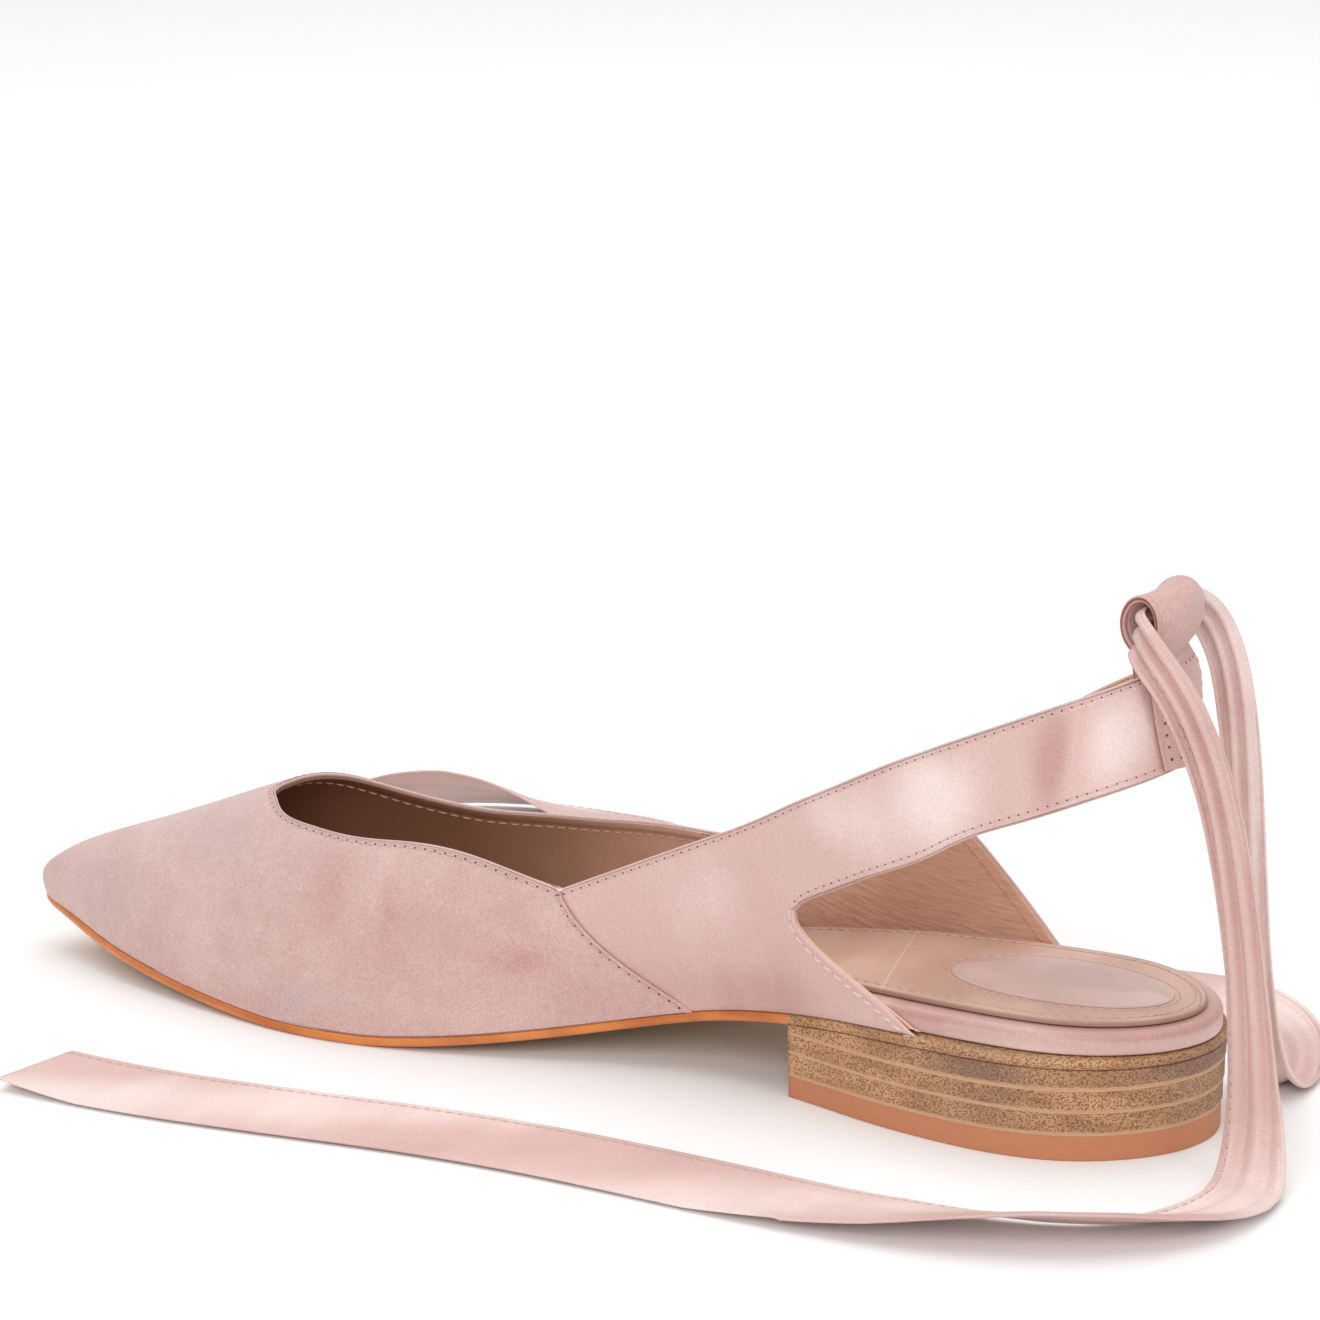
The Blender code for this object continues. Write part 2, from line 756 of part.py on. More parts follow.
def principled(name, colour, roughness):
    """A plain material with the piece's colour and roughness."""
    material = bpy.data.materials.new(name)
    material.use_nodes = True
    shader = material.node_tree.nodes["Principled BSDF"]
    shader.inputs["Base Color"].default_value = (*colour, 1.0)
    shader.inputs["Roughness"].default_value = roughness
    shader.inputs["Metallic"].default_value = 0.0
    material.diffuse_color = (*colour, 1.0)
    return material


def add_object(name, points, faces, material):
    """A mesh object in last coordinates, hung from the shoe's empty."""
    mesh = bpy.data.meshes.new(name)
    scaled = [tuple(float(value) * MM for value in point) for point in points]
    mesh.from_pydata(scaled, [], faces)
    work = bmesh.new()
    work.from_mesh(mesh)
    bmesh.ops.remove_doubles(work, verts=work.verts, dist=WELD * MM)
    work.to_mesh(mesh)
    work.free()
    mesh.materials.append(material)
    mesh.shade_smooth()
    mesh.set_sharp_from_angle(angle=math.radians(SHARP_ANGLE))
    piece = bpy.data.objects.new(name, mesh)
    piece.parent = shoe
    shoe_parts.objects.link(piece)
    return piece


def add_wall(piece, thickness, offset):
    """Gives an open surface its thickness. Offset -1 keeps the surface as the outside."""
    wall = piece.modifiers.new("wall", "SOLIDIFY")
    wall.thickness = thickness * MM
    wall.offset = offset
    wall.use_rim = True


def add_slab(name, outline, low, high, material, count, end=None):
    """A plate between two heights over an outline, cut square where an end is given."""
    points, faces = slab_mesh(outline, low, high, count, end)
    add_object(name, points, faces, material)


def add_outsole():
    """The thin leather outsole, flat under the ball and sprung at the toe."""
    add_slab("outsole", EDGE, tread, sole_top, leather_edge, OUTSOLE_SECTIONS)


def heel_plane(back_height, breast_height):
    """A tilted plane between the lifts of the heel."""
    slope = (breast_height - back_height) / BREAST_STATION
    return lambda station: back_height + slope * station


def add_heel():
    """The top piece and the stacked lifts, which taper a little towards the floor."""
    planes = [heel_plane(back, breast) for back, breast in HEEL_PLANES]
    half_gap = FIT_GAP / 2
    for name, inset, low, high in zip(HEEL_NAMES, HEEL_INSETS, planes, planes[1:]):
        add_slab(
            name,
            inset_edge(inset),
            lambda y, low=low: low(y) + (half_gap if low is not planes[0] else 0.0),
            lambda y, high=high: high(y) - half_gap,
            top_piece_rubber if name == "top_piece" else stacked_leather,
            HEEL_SECTIONS,
            BREAST_STATION,
        )
    lowest_wedge = planes[-1]
    add_slab(
        "heel_lift_wedge",
        inset_edge(HEEL_INSETS[-1]),
        lambda y: lowest_wedge(y) + half_gap,
        lambda y: tread(y) - FIT_GAP,
        stacked_leather,
        HEEL_SECTIONS,
        BREAST_STATION,
    )


def seat_share(station):
    """1 at the heel seat and 0 where the board runs on inside the upper."""
    share = np.clip((BOARD_STEP_END - np.asarray(station, float)) / BOARD_STEP, 0.0, 1.0)
    return share * share * (3 - 2 * share)


def board_top(station):
    """Height of the insole board's upper face."""
    thick = BOARD_FORE_THICKNESS
    thick = thick + (BOARD_SEAT_THICKNESS - thick) * seat_share(station)
    return feather_height(station) + thick


def sock_top(station):
    """Height of the sock's upper face."""
    return board_top(station) + FIT_GAP + SOCK_THICKNESS


def back_share(station):
    """1 at the very back of the heel and 0 where the quarters begin."""
    return np.clip(1 - np.asarray(station, float) / SEAT_BACK_RUN, 0.0, 1.0) ** 2


def board_inset(station):
    """How far the board's side stands inside the sole's edge."""
    side = FEATHER_INSET + VAMP_STEP + UPPER_WALL + FIT_GAP
    return side - (side - SEAT_BACK_INSET) * back_share(station)


def sock_inset(station):
    """How far the sock's edge stands inside the sole's edge."""
    fore = FEATHER_INSET + VAMP_STEP + UPPER_WALL + 2 * FIT_GAP
    seat = SOCK_BACK_INSET + (SOCK_SEAT_INSET - SOCK_BACK_INSET) * (
        1 - back_share(station)
    )
    return fore + (seat - fore) * seat_share(station)


def add_insole():
    """The board under the foot, the sock on it and the raised pad of the heel."""
    stations = EDGE[:, 1]
    board = inset_edge(board_inset(stations))
    add_slab("insole_board", board, feather_height, board_top, satin, INSOLE_SECTIONS)
    sock = inset_edge(sock_inset(stations))
    add_slab(
        "sock",
        sock,
        lambda y: board_top(y) + FIT_GAP,
        sock_top,
        sock_leather,
        INSOLE_SECTIONS,
    )
    turns = np.linspace(0.0, 2 * math.pi, HEEL_PAD_TURNS, endpoint=False)
    middle, half_length, half_width = HEEL_PAD_OVAL
    pad = np.stack(
        [-half_width * np.sin(turns), middle - half_length * np.cos(turns)], axis=1
    )
    add_slab(
        "heel_pad",
        pad,
        lambda y: sock_top(y) + FIT_GAP,
        lambda y: sock_top(y) + FIT_GAP + HEEL_PAD_THICKNESS,
        sock_leather,
        HEEL_PAD_SECTIONS,
    )


def add_upper():
    """Vamp, quarters and slingback strap as one hollow shell, open at top and bottom."""
    points = []
    faces = []
    for side, vamp_table, quarter_table, strap_table in (
        (MEDIAL, MEDIAL_VAMP, MEDIAL_QUARTER, MEDIAL_STRAP),
        (LATERAL, LATERAL_VAMP, LATERAL_QUARTER, LATERAL_STRAP),
    ):
        vamp = vamp_columns(side, vamp_table, seam_bow(quarter_table[0]))
        quarter = quarter_columns(side, quarter_table)
        strap = strap_columns(side, quarter[-1], strap_table)
        side_points, side_faces = side_mesh(side, vamp, quarter, strap)
        first = len(points)
        points += side_points
        faces += [tuple(first + i for i in face) for face in side_faces]
    upper = add_object("upper", points, faces, suede)
    add_wall(upper, UPPER_WALL, -1.0)


def add_back_tab():
    """The suede strip wrapped round the strap, whose top forms the ribbon's loop."""
    profile, _ = path_spline(TAB_PROFILE)
    strip = profile(np.linspace(0.0, 1.0, TAB_STEPS))
    shares = np.linspace(-1.0, 1.0, TAB_CELLS + 1)
    back, back_height = STRAP_BACK_LOWER[0], STRAP_BACK_LOWER[3]
    points = []
    for outward, height, straightness in strip:
        radius = TAB_RADIUS + (LOOP_RADIUS - TAB_RADIUS) * straightness
        middle = back + TAB_LEAN * min(height / STRAP_RISE, 1.0) + radius
        for share in shares:
            turn = share * TAB_HALF_WIDTH / radius
            x = (radius + outward) * math.sin(turn)
            station = middle - (radius + outward) * math.cos(turn)
            points.append((x, station, back_height + height))
    width = len(shares)
    faces = [
        (i * width + j, i * width + j + 1, (i + 1) * width + j + 1, (i + 1) * width + j)
        for i in range(len(strip) - 1)
        for j in range(width - 1)
    ]
    tab = add_object("back_tab", points, faces, suede)
    add_wall(tab, TAB_THICKNESS, 0.0)


def ribbon_marks(side, hang_table, floor_table):
    """The chosen points of one half of the ribbon, with its width and rise at each."""
    marks = []
    for out, station, height, width, rise in hang_table:
        marks.append((side * out, station, height, width, rise))
    for out, station, width, rise in floor_table:
        lift = width / 2 * math.sin(math.radians(rise))
        marks.append((side * out, station, RIBBON_FLOOR_HEIGHT + lift, width, rise))
    return np.array(marks)


def ribbon_across(side, middle, rise, hanging):
    """Directions across the ribbon: front to back where it hangs, level where it lies."""
    along = np.gradient(middle, axis=0)
    along /= np.linalg.norm(along, axis=1)[:, None]
    level = side * np.cross(along, (0.0, 0.0, 1.0))
    level[hanging] = (0.0, -1.0, 0.0)
    level /= np.linalg.norm(level, axis=1)[:, None]
    angle = np.radians(rise)[:, None]
    across = level * np.cos(angle) + np.array([0.0, 0.0, 1.0]) * np.sin(angle)
    across -= along * np.sum(across * along, axis=1)[:, None]
    return across / np.linalg.norm(across, axis=1)[:, None]


def add_ribbon(name, side, hang_table, floor_table):
    """Half of the satin ribbon, from the middle of the loop down and along the floor."""
    marks = ribbon_marks(side, hang_table, floor_table)
    route, share = path_spline(marks[:, :3])
    length = np.linalg.norm(np.diff(marks[:, :3], axis=0), axis=1).sum()
    at = np.linspace(0.0, 1.0, round(length / RIBBON_SPACING))
    middle = route(at)
    width = np.interp(at, share, marks[:, 3])
    rise = np.interp(at, share, marks[:, 4])
    across = ribbon_across(side, middle, rise, at < share[len(hang_table) - 1])
    points = []
    for centre, direction, reach in zip(middle, across, width):
        for share_across in np.linspace(-0.5, 0.5, RIBBON_CELLS + 1):
            point = centre + direction * reach * share_across
            points.append((*point[:2], max(point[2], RIBBON_FLOOR_HEIGHT)))
    row = RIBBON_CELLS + 1
    faces = [
        (i * row + j, i * row + j + 1, (i + 1) * row + j + 1, (i + 1) * row + j)
        for i in range(len(middle) - 1)
        for j in range(RIBBON_CELLS)
    ]
    ribbon = add_object(name, points, faces, satin)
    add_wall(ribbon, RIBBON_THICKNESS, 0.0)


for leftover in list(bpy.data.objects):
    bpy.data.objects.remove(leftover, do_unlink=True)
shoe_parts = bpy.data.collections.new("ballet_flat")
bpy.context.scene.collection.children.link(shoe_parts)
shoe = bpy.data.objects.new("shoe", None)
shoe.location = (0.0, -REST_STATION * MM, 0.0)
shoe_parts.objects.link(shoe)

suede = principled("suede", (0.66, 0.45, 0.41), 0.95)
satin = principled("satin", (0.70, 0.47, 0.42), 0.35)
leather_edge = principled("leather_edge", (0.60, 0.27, 0.09), 0.35)
stacked_leather = principled("stacked_leather", (0.31, 0.20, 0.10), 0.55)
top_piece_rubber = principled("top_piece_rubber", (0.53, 0.22, 0.12), 0.5)
sock_leather = principled("sock_leather", (0.52, 0.33, 0.25), 0.5)

add_outsole()
add_heel()
add_insole()
add_upper()
add_back_tab()
add_ribbon("ribbon_medial", MEDIAL, MEDIAL_RIBBON_HANG, MEDIAL_RIBBON_FLOOR)
add_ribbon("ribbon_lateral", LATERAL, LATERAL_RIBBON_HANG, LATERAL_RIBBON_FLOOR)
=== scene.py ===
"""Dresses a pointed slingback ballet flat: suede vamp, satin quarters and strap, stacked heel, ribbon.

Sizes are in millimetres in last coordinates: a station is the distance along the shoe from
the back of the heel seat, x is measured from the heel's centreline (medial side negative)
and height from the floor. Every mesh is moved to the shoe's own frame, in metres, when it
is made.
"""

import functools
import json
import logging
import math
from collections.abc import Callable, Sequence
from dataclasses import dataclass, field, replace
from enum import Enum

import bmesh
import bpy
import numpy as np
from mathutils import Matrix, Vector
from mathutils.bvhtree import BVHTree
from mathutils.kdtree import KDTree

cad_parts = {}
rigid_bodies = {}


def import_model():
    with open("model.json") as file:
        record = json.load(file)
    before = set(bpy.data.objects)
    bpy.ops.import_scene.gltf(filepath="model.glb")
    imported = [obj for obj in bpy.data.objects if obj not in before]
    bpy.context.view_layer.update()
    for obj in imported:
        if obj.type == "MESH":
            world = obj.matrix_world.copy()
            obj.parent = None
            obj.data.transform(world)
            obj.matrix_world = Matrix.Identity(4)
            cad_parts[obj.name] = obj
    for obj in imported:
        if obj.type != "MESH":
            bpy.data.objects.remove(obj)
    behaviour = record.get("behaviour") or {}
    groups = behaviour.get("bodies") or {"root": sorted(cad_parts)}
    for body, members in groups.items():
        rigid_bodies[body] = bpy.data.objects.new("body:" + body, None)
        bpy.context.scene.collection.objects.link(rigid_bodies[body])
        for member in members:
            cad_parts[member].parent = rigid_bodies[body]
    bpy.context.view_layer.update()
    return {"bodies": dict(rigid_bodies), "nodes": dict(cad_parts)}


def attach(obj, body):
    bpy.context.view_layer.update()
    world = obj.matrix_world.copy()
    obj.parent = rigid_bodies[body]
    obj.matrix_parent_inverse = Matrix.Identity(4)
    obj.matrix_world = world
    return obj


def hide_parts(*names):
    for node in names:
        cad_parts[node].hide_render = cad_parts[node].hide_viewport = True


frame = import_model()

log = logging.getLogger("ballet_flat")

MM = 0.001
REST_STATION = 40.0
BODY = "root"
PLATE_WELD = 0.004
Table = tuple[tuple[float, ...], ...]
Colour = tuple[float, ...]
Array = np.ndarray
Curve = Callable[[Array], Array]
Triple = tuple[float, float, float]
Pair = tuple[Array, Array]
Face = tuple[int, ...]
Form = tuple[Array, list[Face]]
Socket = bpy.types.NodeSocket
Object = bpy.types.Object


class Side(Enum):
    """The two sides of the shoe, with the sign of their x."""

    MEDIAL = -1
    LATERAL = 1


MEDIAL, LATERAL = Side


class Slot(Enum):
    """The record's material slots."""

    SUEDE = "suede"
    SATIN = "satin"
    LEATHER_EDGE = "leather_edge"
    STACKED_LEATHER = "stacked_leather"
    TOP_PIECE = "top_piece_rubber"
    SOCK_LEATHER = "sock_leather"


def srgb(*display: int) -> Colour:
    """A colour given in display values, 0 to 255 each and none very dark, as linear shares."""
    return tuple(((value / 255 + 0.055) / 1.055) ** 2.4 for value in display)


# ---- curves ----


class Spline:
    """A natural cubic curve through rows of values, read at any knot."""

    def __init__(self, knots: Sequence[float], values: Sequence) -> None:
        """Fits the curve.

        Args:
            knots: where each row of values lies, in rising order.
            values: one number or one point a knot.
        """
        self.knots = np.asarray(knots, float)
        self.values = np.asarray(values, float)
        count = len(self.knots)
        gaps = np.diff(self.knots)
        matrix = np.eye(count)
        right = np.zeros_like(self.values)
        for i in range(1, count - 1):
            matrix[i, i - 1] = gaps[i - 1]
            matrix[i, i] = 2 * (gaps[i - 1] + gaps[i])
            matrix[i, i + 1] = gaps[i]
            ahead = (self.values[i + 1] - self.values[i]) / gaps[i]
            behind = (self.values[i] - self.values[i - 1]) / gaps[i - 1]
            right[i] = 6 * (ahead - behind)
        self.bend = np.linalg.solve(matrix, right)

    def __call__(self, at: float | Array) -> Array:
        """The curve's values at some knots.

        Args:
            at: one knot or an array of them.

        Returns:
            One value or point for each.
        """
        at = np.asarray(at, float)
        i = np.clip(np.searchsorted(self.knots, at) - 1, 0, len(self.knots) - 2)
        gap = self.knots[i + 1] - self.knots[i]
        near = (self.knots[i + 1] - at) / gap
        far = 1 - near
        if self.values.ndim > 1:
            gap, near, far = gap[..., None], near[..., None], far[..., None]
        cubic = (near**3 - near) * self.bend[i] + (far**3 - far) * self.bend[i + 1]
        return near * self.values[i] + far * self.values[i + 1] + cubic * gap**2 / 6

    @classmethod
    def column(cls, table: Table, column: int) -> "Spline":
        """A table's column as a smooth function of its first column."""
        return cls([row[0] for row in table], [row[column] for row in table])

    @classmethod
    def path(cls, points: Sequence) -> "Spline":
        """A smooth path through points, whose knots are shares of its length."""
        along = lengths_along(np.asarray(points, float))
        return cls(along / along[-1], points)


def lengths_along(points: Array) -> Array:
    """How far along a line of points each of them lies."""
    steps = np.linalg.norm(np.diff(points, axis=0), axis=1)
    return np.concatenate([[0], np.cumsum(steps)])


def respaced(values: Array, at: Array, line: Array | None = None) -> Array:
    """What a line of points holds at some distances along it.

    Args:
        values: the points, or other values at them.
        at: the distances.
        line: the points, where values aren't the points.

    Returns:
        One row of values a distance.
    """
    along = lengths_along(values if line is None else line)
    return np.stack([np.interp(at, along, column) for column in values.T], axis=1)


def unit(vectors: Array) -> Array:
    """The same directions with length one."""
    return vectors / np.maximum(np.linalg.norm(vectors, axis=-1, keepdims=True), 1e-9)


def smoothstep(share: Array) -> Array:
    """Eases a share from 0 to 1."""
    share = np.clip(share, 0, 1)
    return share * share * (3 - 2 * share)


def smoothed(points: Array, rounds: int) -> Array:
    """A line of points with its corners eased, its ends held.

    Args:
        points: the points.
        rounds: how many times it is eased.

    Returns:
        The eased line.
    """
    points = points.copy()
    for _ in range(rounds):
        points[1:-1] = (points[:-2] + 2 * points[1:-1] + points[2:]) / 4
    return points


# ---- the last ----


@dataclass(frozen=True)
class Last:
    """The foot form that every piece is worked out from, as tables of its sections."""

    length: float = 265.6
    tip_x: float = -10.6
    outsole_thickness: float = 1.9
    feather_inset: float = 1.2
    feather_lift: float = 0.5
    vamp_step: float = 0.6
    toe_centre: float = 247.0
    spine_rows: int = 4
    outline_points: int = 1200
    strap_roundness: float = 2.1
    oval_climb: float = 0.9
    # Plan of the sole's edge. Columns: station, x.
    medial_edge: Table = (
        (0, 0), (2.6, -10.5), (9.5, -19.5), (20, -26.3), (33, -29.2), (47, -28.7), (62, -26.2), (74, -23),
        (86, -20), (99, -18.6), (112, -20), (126, -23.2), (140, -27.6), (155, -32.2), (170, -35.8),
        (184, -37), (197, -35.8), (211, -33.2), (224, -30), (237, -25.8), (249, -20.6), (258.8, -15.9),
        (264, -13),
    )
    lateral_edge: Table = (
        (264, -8), (258.3, -4.3), (249, 0.2), (237, 6.8), (224, 14.6), (210, 22.6), (196, 29.2),
        (181, 34.4), (165, 37.6), (148, 38.3), (130, 36.6), (112, 33.6), (94, 30.6), (78, 28.6), (62, 27.8),
        (47, 28), (33, 28.2), (20, 25.9), (9.5, 19.5), (2.6, 10.5),
    )
    # Underside of the outsole. Columns: station, height.
    tread_profile: Table = (
        (0, 18.2), (20, 18.4), (40, 18.3), (55, 17.8), (69, 16.8), (82, 15.1), (92, 13.5), (102, 11.7),
        (112, 9.5), (126, 6.3), (140, 3.6), (154, 1.5), (166, 0.3), (180, -0.25), (194, 0.1), (206, 0.9),
        (218, 2), (230, 3.4), (242, 5.1), (254, 7.2), (265, 9.4),
    )
    # Line that the sections rise to. Columns: station, x, height.
    spine: Table = (
        (40, 0, 110), (80, 0, 96), (110, 0, 82), (135, -0.5, 70), (155, -1.2, 61.4), (172, -2.2, 54.6),
        (188, -3.4, 49.2), (200, -4.4, 44.8), (212, -5.6, 40.6), (226, -7.2, 35), (240, -8.8, 29.6),
        (252, -9.8, 25.2), (265, -10.6, 20.4),
    )
    # Fullness of the wall. Columns: station, medial bulge, lateral bulge, squareness.
    section_form: Table = (
        (40, 0, 0, 0.8), (60, 0.06, 0, 0.8), (80, 0.3, 0.03, 0.8), (100, 0.42, 0.05, 0.8),
        (125, 0.26, 0.05, 0.8), (150, 0.12, 0.06, 0.78), (175, 0.06, 0.06, 0.75), (200, 0.05, 0.05, 0.72),
        (230, 0.07, 0.07, 0.7), (247, 0.11, 0.11, 0.68), (265, 0.24, 0.24, 0.6),
    )
    # Columns of the vamp's wall. Columns: edge station, top station, top angle.
    medial_vamp: Table = (
        (247, 247, 90), (234, 232, 90), (222, 219, 90), (212, 208.4, 90), (207, 206.6, 83),
        (201, 203.4, 75.6), (193, 198.2, 65), (182, 189.6, 57), (168, 178, 50.6), (152, 165.5, 46.2),
        (136.8, 153, 40.4), (120.6, 141.5, 33.3), (104.5, 130.5, 26.4),
    )
    lateral_vamp: Table = (
        (247, 247, 90), (234, 232, 90), (222, 219, 90), (212, 208.4, 90), (206.5, 205.4, 74.5),
        (199, 199.6, 56.3), (189, 191, 43.4), (176, 180.5, 35.9), (161, 169, 32.5), (144, 157, 29.2),
        (127, 145, 26.6), (110, 133, 23.6), (94, 121.5, 20.3),
    )
    # Columns: edge station, middle station, middle height, top station, top height.
    medial_quarter: Table = (
        (104.5, 121.6, 24.9, 130.5, 36.4), (91.3, 111.1, 28.3, 121.4, 40.6),
        (77.5, 100.5, 31.8, 112.2, 44.9), (64.3, 90.2, 35.7, 103.4, 49), (51, 81, 39.2, 95, 52.9),
    )
    lateral_quarter: Table = (
        (94, 110.8, 24.4, 121.5, 32.8), (81.2, 99.6, 30, 112, 39.1), (68.4, 88.4, 35.6, 102.6, 45),
        (55.5, 77.2, 41.2, 93.4, 50.4), (42.7, 66.1, 46.6, 84.5, 55.2),
    )
    # Columns: lower station, lower height, upper station, upper height.
    medial_strap: Table = (
        (78.6, 40.8, 89.6, 55.7), (71.6, 44.5, 81.6, 60.3), (62, 49.4, 71.6, 65.7), (52, 54.2, 61.4, 71.2),
        (42.6, 59.9, 51, 76.3),
    )
    lateral_strap: Table = (
        (61.4, 48, 78.4, 58), (57.6, 49.7, 71.4, 60.9), (53, 51.8, 64.4, 63.8), (48, 54.2, 57.6, 66.8),
        (42.6, 56.8, 51, 70),
    )
    # Half oval of the strap: back station, front station, half width, back height.
    strap_back_lower: tuple[float, ...] = (6.6, 42.6, 25, 74.6)
    strap_back_upper: tuple[float, ...] = (11.2, 51, 23.5, 93.4)
    oval_turns: tuple[float, ...] = (90, 72, 54, 36, 18, 0, -18)
    # How far the rear edge of the quarter is hollowed: medial, lateral.
    rear_curl: tuple[float, float] = (0.88, 0)

    @functools.cached_property
    def columns(self) -> dict[str, Spline]:
        """The tables' columns as smooth functions of the station.

        Returns:
            The functions by name.
        """
        found = {"tread": Spline.column(self.tread_profile, 1)}
        for k, name in enumerate(("spine_x", "spine_height"), start=1):
            found[name] = Spline.column(self.spine, k)
        for k, name in enumerate(("medial_bulge", "lateral_bulge", "squareness"), start=1):
            found[name] = Spline.column(self.section_form, k)
        return found

    def tread(self, station: Array) -> Array:
        """Height of the outsole's underside, flat where it rests on the floor."""
        return np.maximum(self.columns["tread"](station), 0)

    def sole_top(self, station: Array) -> Array:
        """Height of the outsole's upper face."""
        return self.tread(station) + self.outsole_thickness

    def feather_height(self, station: Array) -> Array:
        """Height of the upper's lower edge."""
        return self.sole_top(station) + self.feather_lift

    @functools.cached_property
    def outline(self) -> Pair:
        """The sole's edge in plan.

        Returns:
            Dense points round it and their outward directions.
        """
        ring = np.array([*self.medial_edge, (self.length, self.tip_x), *self.lateral_edge])[:, ::-1]
        wrap = 5
        curve = Spline.path(np.concatenate([ring[-wrap:], ring, ring[: wrap + 1]]))
        start, end = curve.knots[wrap], curve.knots[wrap + len(ring)]
        points = curve(np.linspace(start, end, self.outline_points + 1)[:-1])
        along = np.roll(points, -1, axis=0) - np.roll(points, 1, axis=0)
        return points, unit(np.stack([-along[:, 1], along[:, 0]], axis=1))

    def inset(self, distance: float | Array) -> Array:
        """The sole's edge moved inwards, by one distance or by one a point."""
        points, outward = self.outline
        return points - outward * np.reshape(distance, (-1, 1))

    @functools.cached_property
    def feather(self) -> Array:
        """Plan of the line where the upper meets the sole."""
        return self.inset(self.feather_inset)

    @functools.cached_property
    def feather_sides(self) -> tuple[Curve, Curve]:
        """The feather line's medial and lateral x, as functions of the station."""
        left, right, _, _ = outline_sides(self.feather)
        return left, right

    def spread(self, station: Array, angle: Array, side: Side) -> Array:
        """Share of the way from the spine out to the edge, over 1 where the wall bulges."""
        full = np.clip(np.cos(np.radians(angle)), 0, 1) ** self.columns["squareness"](station)
        bulge = self.columns["medial_bulge" if side is MEDIAL else "lateral_bulge"]
        return full * (1 + bulge(station) * np.sin(np.radians(2 * angle)))

    def wall(self, side: Side, station: Array, angle: Array) -> Array:
        """Points of the last's surface.

        Args:
            side: which side.
            station: where along the shoe each point lies.
            angle: 0 at the sole's edge and 90 at the spine.

        Returns:
            Points, with one more dimension than the stations.
        """
        centre = self.columns["spine_x"](station)
        edge = self.feather_sides[0 if side is MEDIAL else 1](station)
        low = self.feather_height(station)
        high = self.columns["spine_height"](station)
        x = centre + (edge - centre) * self.spread(station, angle, side)
        return np.stack([x, station, low + (high - low) * np.sin(np.radians(angle))], axis=-1)

    def toe_cap(self, side: Side, edge: Array, angle: Array) -> Array:
        """Points of the toe's cap, on straight lines in plan from its centre to the edge.

        Args:
            side: which side.
            edge: where each line meets the sole's edge.
            angle: 0 at that edge and 90 at the spine.

        Returns:
            One point for each.
        """
        centre = np.array([float(self.columns["spine_x"](self.toe_centre)), self.toe_centre])
        plan = centre + (edge - centre) * self.spread(edge[..., 1], angle, side)[..., None]
        low = self.feather_height(edge[..., 1])
        high = self.columns["spine_height"](plan[..., 1])
        rise = low + (high - low) * np.sin(np.radians(angle))
        return np.concatenate([plan, rise[..., None]], axis=-1)

    def toe_edge(self, side: Side, count: int) -> Array:
        """Points of the feather line from the toe's tip back to the toe's centre station.

        Args:
            side: which side.
            count: how many points there are.

        Returns:
            The points in plan, without the last one.
        """
        tip = int(np.argmax(self.feather[:, 1]))
        ring = np.roll(self.feather, -tip, axis=0)
        if side is MEDIAL:
            ring = np.roll(ring[::-1], 1, axis=0)
        run = ring[: int(np.argmax(ring[:, 1] < self.toe_centre)) + 1]
        return Spline.path(run[::4])(np.linspace(0, 1, count + 1))[:-1]

    def angle_at(self, station: Array, height: Array) -> Array:
        """The angle at which a section of the last reaches a height."""
        low = self.feather_height(station)
        high = self.columns["spine_height"](station)
        return np.degrees(np.arcsin((height - low) / (high - low)))

    def tables(self, side: Side) -> tuple[Table, Table, Table]:
        """The vamp's, quarter's and strap's tables of one side."""
        if side is MEDIAL:
            return self.medial_vamp, self.medial_quarter, self.medial_strap
        return self.lateral_vamp, self.lateral_quarter, self.lateral_strap

    @staticmethod
    def seam_bow(row: tuple[float, ...]) -> float:
        """How far forward of a straight line the seam passes, as a share of its lean."""
        edge, middle, _, top, _ = row
        return (middle - edge) / (top - edge) - 0.5

    def vamp_grid(self, side: Side, shares: Array, toe: int, finer: int) -> Array:
        """The vamp's outer surface from the toe's tip to the seam.

        Args:
            side: which side.
            shares: shares of the way up each column, 0 to 1.
            toe: how many columns the toe's cap has.
            finer: how many columns there are for one row of the table.

        Returns:
            Points by column and row.
        """
        table, quarter, _ = self.tables(side)
        edges = self.toe_edge(side, toe)
        angles = np.tile(90 * shares, (toe, 1))
        cap = self.toe_cap(side, np.repeat(edges[:, None], len(shares), 1), angles)
        closed = sampled_rows(table[: self.spine_rows], finer)
        rows = np.concatenate([closed, sampled_rows(table[self.spine_rows - 1 :], finer)[1:]])
        done = np.linspace(0, 1, len(rows))[:, None]
        bow = self.seam_bow(quarter[0]) * done**2
        lean = shares + 4 * bow * shares * (1 - shares)
        station = rows[:, :1] + (rows[:, 1:2] - rows[:, :1]) * lean
        angle = np.minimum(rows[:, 2:3], 90) * shares
        return np.concatenate([cap, self.wall(side, station, angle)])

